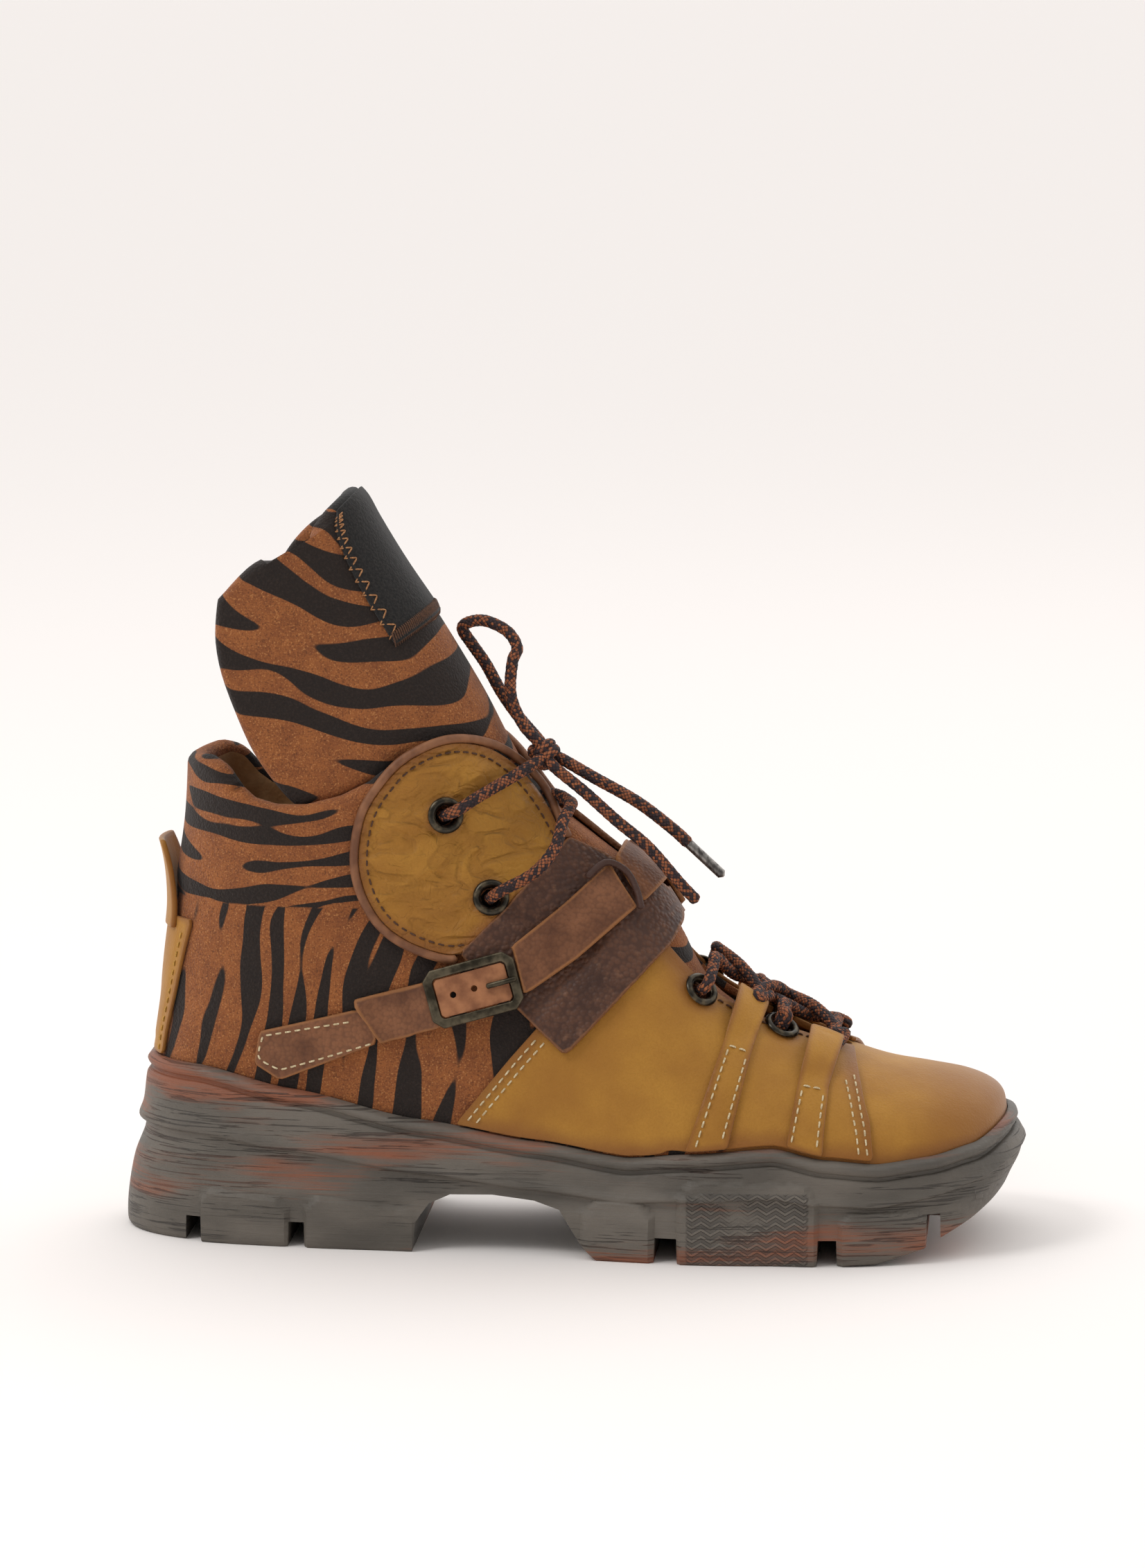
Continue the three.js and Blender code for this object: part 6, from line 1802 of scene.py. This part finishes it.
# Stitches: waxed thread, each stitch a small raised bar whose ends dive into the leather.
# Cream rows hold the seams of the nubuck and the strap's base, dark brown ones the flaps and the throat.
def stitches(name, legs, look, slot, thick=0.62):
    """One mesh of short stitches, each from one point to another with its way out of the leather."""
    points, faces = [], []
    shares = np.array([0.0, 0.16, 0.5, 0.84, 1.0])
    radii, lifts = thick / 2 * np.array([0.45, 0.95, 1.0, 0.95, 0.45]), np.array([-0.35, 0.02, 0.12, 0.02, -0.35])
    turns = np.linspace(0, 2 * math.pi, 7, endpoint=False)
    for a, b, way in legs:
        run = unit(b - a)
        across = unit(np.cross(run, way))
        out = np.cross(across, run)
        start = len(points)
        for share, radius, lift in zip(shares, radii, lifts):
            centre = a + (b - a) * share + way * lift
            points += [centre + (across * math.cos(t) + out * math.sin(t)) * radius for t in turns]
        faces += [(start + j * 7 + i, start + j * 7 + (i + 1) % 7, start + (j + 1) * 7 + (i + 1) % 7,
                   start + (j + 1) * 7 + i) for j in range(4) for i in range(7)]
        faces += [tuple(start + i for i in range(7))[::-1], tuple(start + 28 + i for i in range(7))]
    return fit(new_mesh(name, points, faces), look, slot)


def row_legs(points, ways, long=2.3, gap=0.9):
    """Stitches of one length along a row of points."""
    gone = np.concatenate([[0], np.cumsum(np.linalg.norm(np.diff(points, axis=0), axis=1))])
    legs = []
    for start in np.arange(0.3, gone[-1] - long, long + gap):
        marks = [start, start + long]
        a, b = np.stack([np.interp(marks, gone, points[:, k]) for k in range(3)], axis=1)
        way = unit(np.array([np.interp(start, gone, ways[:, k]) for k in range(3)]))
        legs.append((a, b, way))
    return legs


def seam(corners, side, lift, step=1.0):
    """Stitches along a line of the side view, given by its corners in shares."""
    flat = side_view(corners)
    gone = np.concatenate([[0], np.cumsum(np.linalg.norm(np.diff(flat, axis=0), axis=1))])
    marks = np.linspace(0, gone[-1], max(2, int(gone[-1] / step)))
    line = np.stack([np.interp(marks, gone, flat[:, k]) for k in range(2)], axis=1)
    points, ways = on_foot(line, side)
    if len(points) < 3:
        return []
    height = lift(points) if callable(lift) else lift
    points = points + ways * (height - crease_depth(points))[:, None]
    clear = points[:, 2] > height_at("rim", points[:, 0]) + 1.5
    return row_legs(points[clear], ways[clear]) if clear.sum() > 2 else []


def inset(corners, by):
    """Line moved sideways by millimetres, to the left of its run."""
    flat = np.asarray(corners, float) * [LAST_LENGTH, COLLAR_HEIGHT]
    run = unit(np.gradient(flat, axis=0))
    return (flat + np.stack([-run[:, 1], run[:, 0]], axis=1) * by) / [LAST_LENGTH, COLLAR_HEIGHT]


def thread(name, code, light):
    look = Look(name, Roughness=0.7)
    look.feed("Base Color", look.mix(look.noise(1800, 2.0).between(0.3, 0.7), colour(code), colour(light)))
    return look


cream, dark_thread = thread("cream_thread", "b8a47c", "e2d3ae"), thread("dark_thread", "3c2415", "5c3a22")
gold_thread = thread("gold_thread", "a07628", "c99a45")
ON_LEATHER = ON_UPPER + QUARTER_THICK + 0.05
cream_legs, dark_legs, gold_legs = [], [], []
for side, word in SIDES:
    vamp = [(0.826, 0.36), (0.834, 0.32), (0.842, 0.27), (0.848, 0.2)]
    rear = [(0.335, 0.20), (0.36, 0.27), (0.42, 0.4), (0.45, 0.46)]
    for by in (2.0, 4.6):
        cream_legs += seam(inset(vamp, -by), side, ON_LEATHER)
        cream_legs += seam(inset(rear, -by), side, ON_LEATHER)
    for box in ([(0.672, 0.415), (0.625, 0.14)], [(0.693, 0.395), (0.655, 0.14)], [(0.672, 0.42), (0.696, 0.405)],
                [(0.7605, 0.335), (0.741, 0.14)], [(0.785, 0.325), (0.776, 0.14)], [(0.7605, 0.342), (0.786, 0.332)]):
        cream_legs += seam(box, side, ON_QUARTER + QUARTER_THICK)
    ring = grown(flap_line, -2.4)
    ring = np.vstack([ring, ring[:1]])
    clear = within(band_of[side], np.stack([side_view(ring)[:, 0], ring[:, 0] * 0, side_view(ring)[:, 1]], 1)) < -1
    order = np.roll(np.arange(len(ring) - 1), -int(np.argmax(clear & ~np.roll(clear, 1))))
    dark_legs += seam(ring[[k for k in order if clear[k]]], side, ON_UPPER + FLAP_THICK - 0.05)
    places = np.linspace(ridge_place(0.80), ridge_place(0.625), 70)
    points, ways = [], []
    for place in places:
        turns = np.linspace(0.02, 0.4, 120)
        near = last_face(np.full(120, place), -side * turns)
        gap = throat_gap(np.full(120, place), -side * turns, near)
        k = int(np.abs(gap - 3.4).argmin())
        at = np.array([place]), np.array([-side * turns[k]])
        ways.append(last_normal(*at)[0])
        points.append(last_face(*at)[0] + ways[-1] * ON_LEATHER)
    dark_legs += row_legs(np.array(points), np.array(ways))
middle = side_view(STRAP_BASE).mean(axis=0)
base_flat = side_view([(0.262, 0.432), (0.2, 0.386), (0.147, 0.348), (0.132, 0.362), (0.118, 0.38), (0.121, 0.41),
                       (0.125, 0.445), (0.18, 0.47), (0.24, 0.495)])
arm = base_flat - middle
base_row = (middle + arm * [0.95, 0.72] - [SHIFT[0] - HEEL_AT, 0]) / [LAST_LENGTH, COLLAR_HEIGHT]
cream_legs += seam(base_row, OUTER, ON_UPPER + STRAP_THICK - 0.1)
for sign in (-1, 1):
    heights = np.linspace(0.375, 0.64, 60) * COLLAR_HEIGHT
    reach = np.interp(heights / COLLAR_HEIGHT, [0.12, 0.35, 0.5, 0.66], [24, 15, 17, 20]) - 2.2
    points, ways = [], []
    for z, y in zip(heights, reach):
        hit, normal, _, _ = foot_tree.ray_cast(Vector((-250, sign * y + SHIFT[1], z)), Vector((1, 0, 0)))
        normal = np.array(normal) * (1 if normal[0] < 0 else -1)
        points.append(np.array(hit) + normal * ON_LEATHER)
        ways.append(normal)
    gold_legs += row_legs(np.array(points), np.array(ways))
stitches("cream_stitches", cream_legs, cream, "yellow_nubuck")
stitches("dark_stitches", dark_legs, dark_thread, "yellow_nubuck")
stitches("heel_stitches", gold_legs, gold_thread, "yellow_nubuck")

tan_thread = thread("tan_thread", "8a5a34", "b98657")
zigzag, overcast = [], []
PATCH_OVER = -CLEARANCE - PATCH_THICK - 0.4
for sign in (-1, 1):
    edge_places = np.linspace(PATCH_FROM + 0.006, PATCH_TO - 0.03, 26)
    wide = np.where(np.arange(26) % 2 == 0, PATCH_TURN + 0.016, PATCH_TURN - 0.042)
    line = tongue_point(edge_places, sign * wide, np.where(np.arange(26) % 2 == 0, -0.8, PATCH_OVER))
    core = tongue_point(edge_places, sign * wide, TONGUE_THICK)
    zigzag += [(line[k], line[k + 1], unit(line[k] - core[k])) for k in range(25)]
low_turns = np.linspace(-PATCH_TURN, PATCH_TURN, 70)
inner_line = tongue_point(np.full(70, PATCH_FROM + 0.011), low_turns, PATCH_OVER)
outer_line = tongue_point(np.full(70, PATCH_FROM - 0.003), low_turns + 0.008, -0.8)
core = tongue_point(np.full(70, PATCH_FROM), low_turns, TONGUE_THICK)
overcast = [(inner_line[k], outer_line[k], unit(inner_line[k] - core[k])) for k in range(70)]
stitches("patch_zigzag_stitches", zigzag, tan_thread, "black_suede", 0.55)
stitches("patch_overcast_stitches", overcast, dark_thread, "black_suede", 0.7)
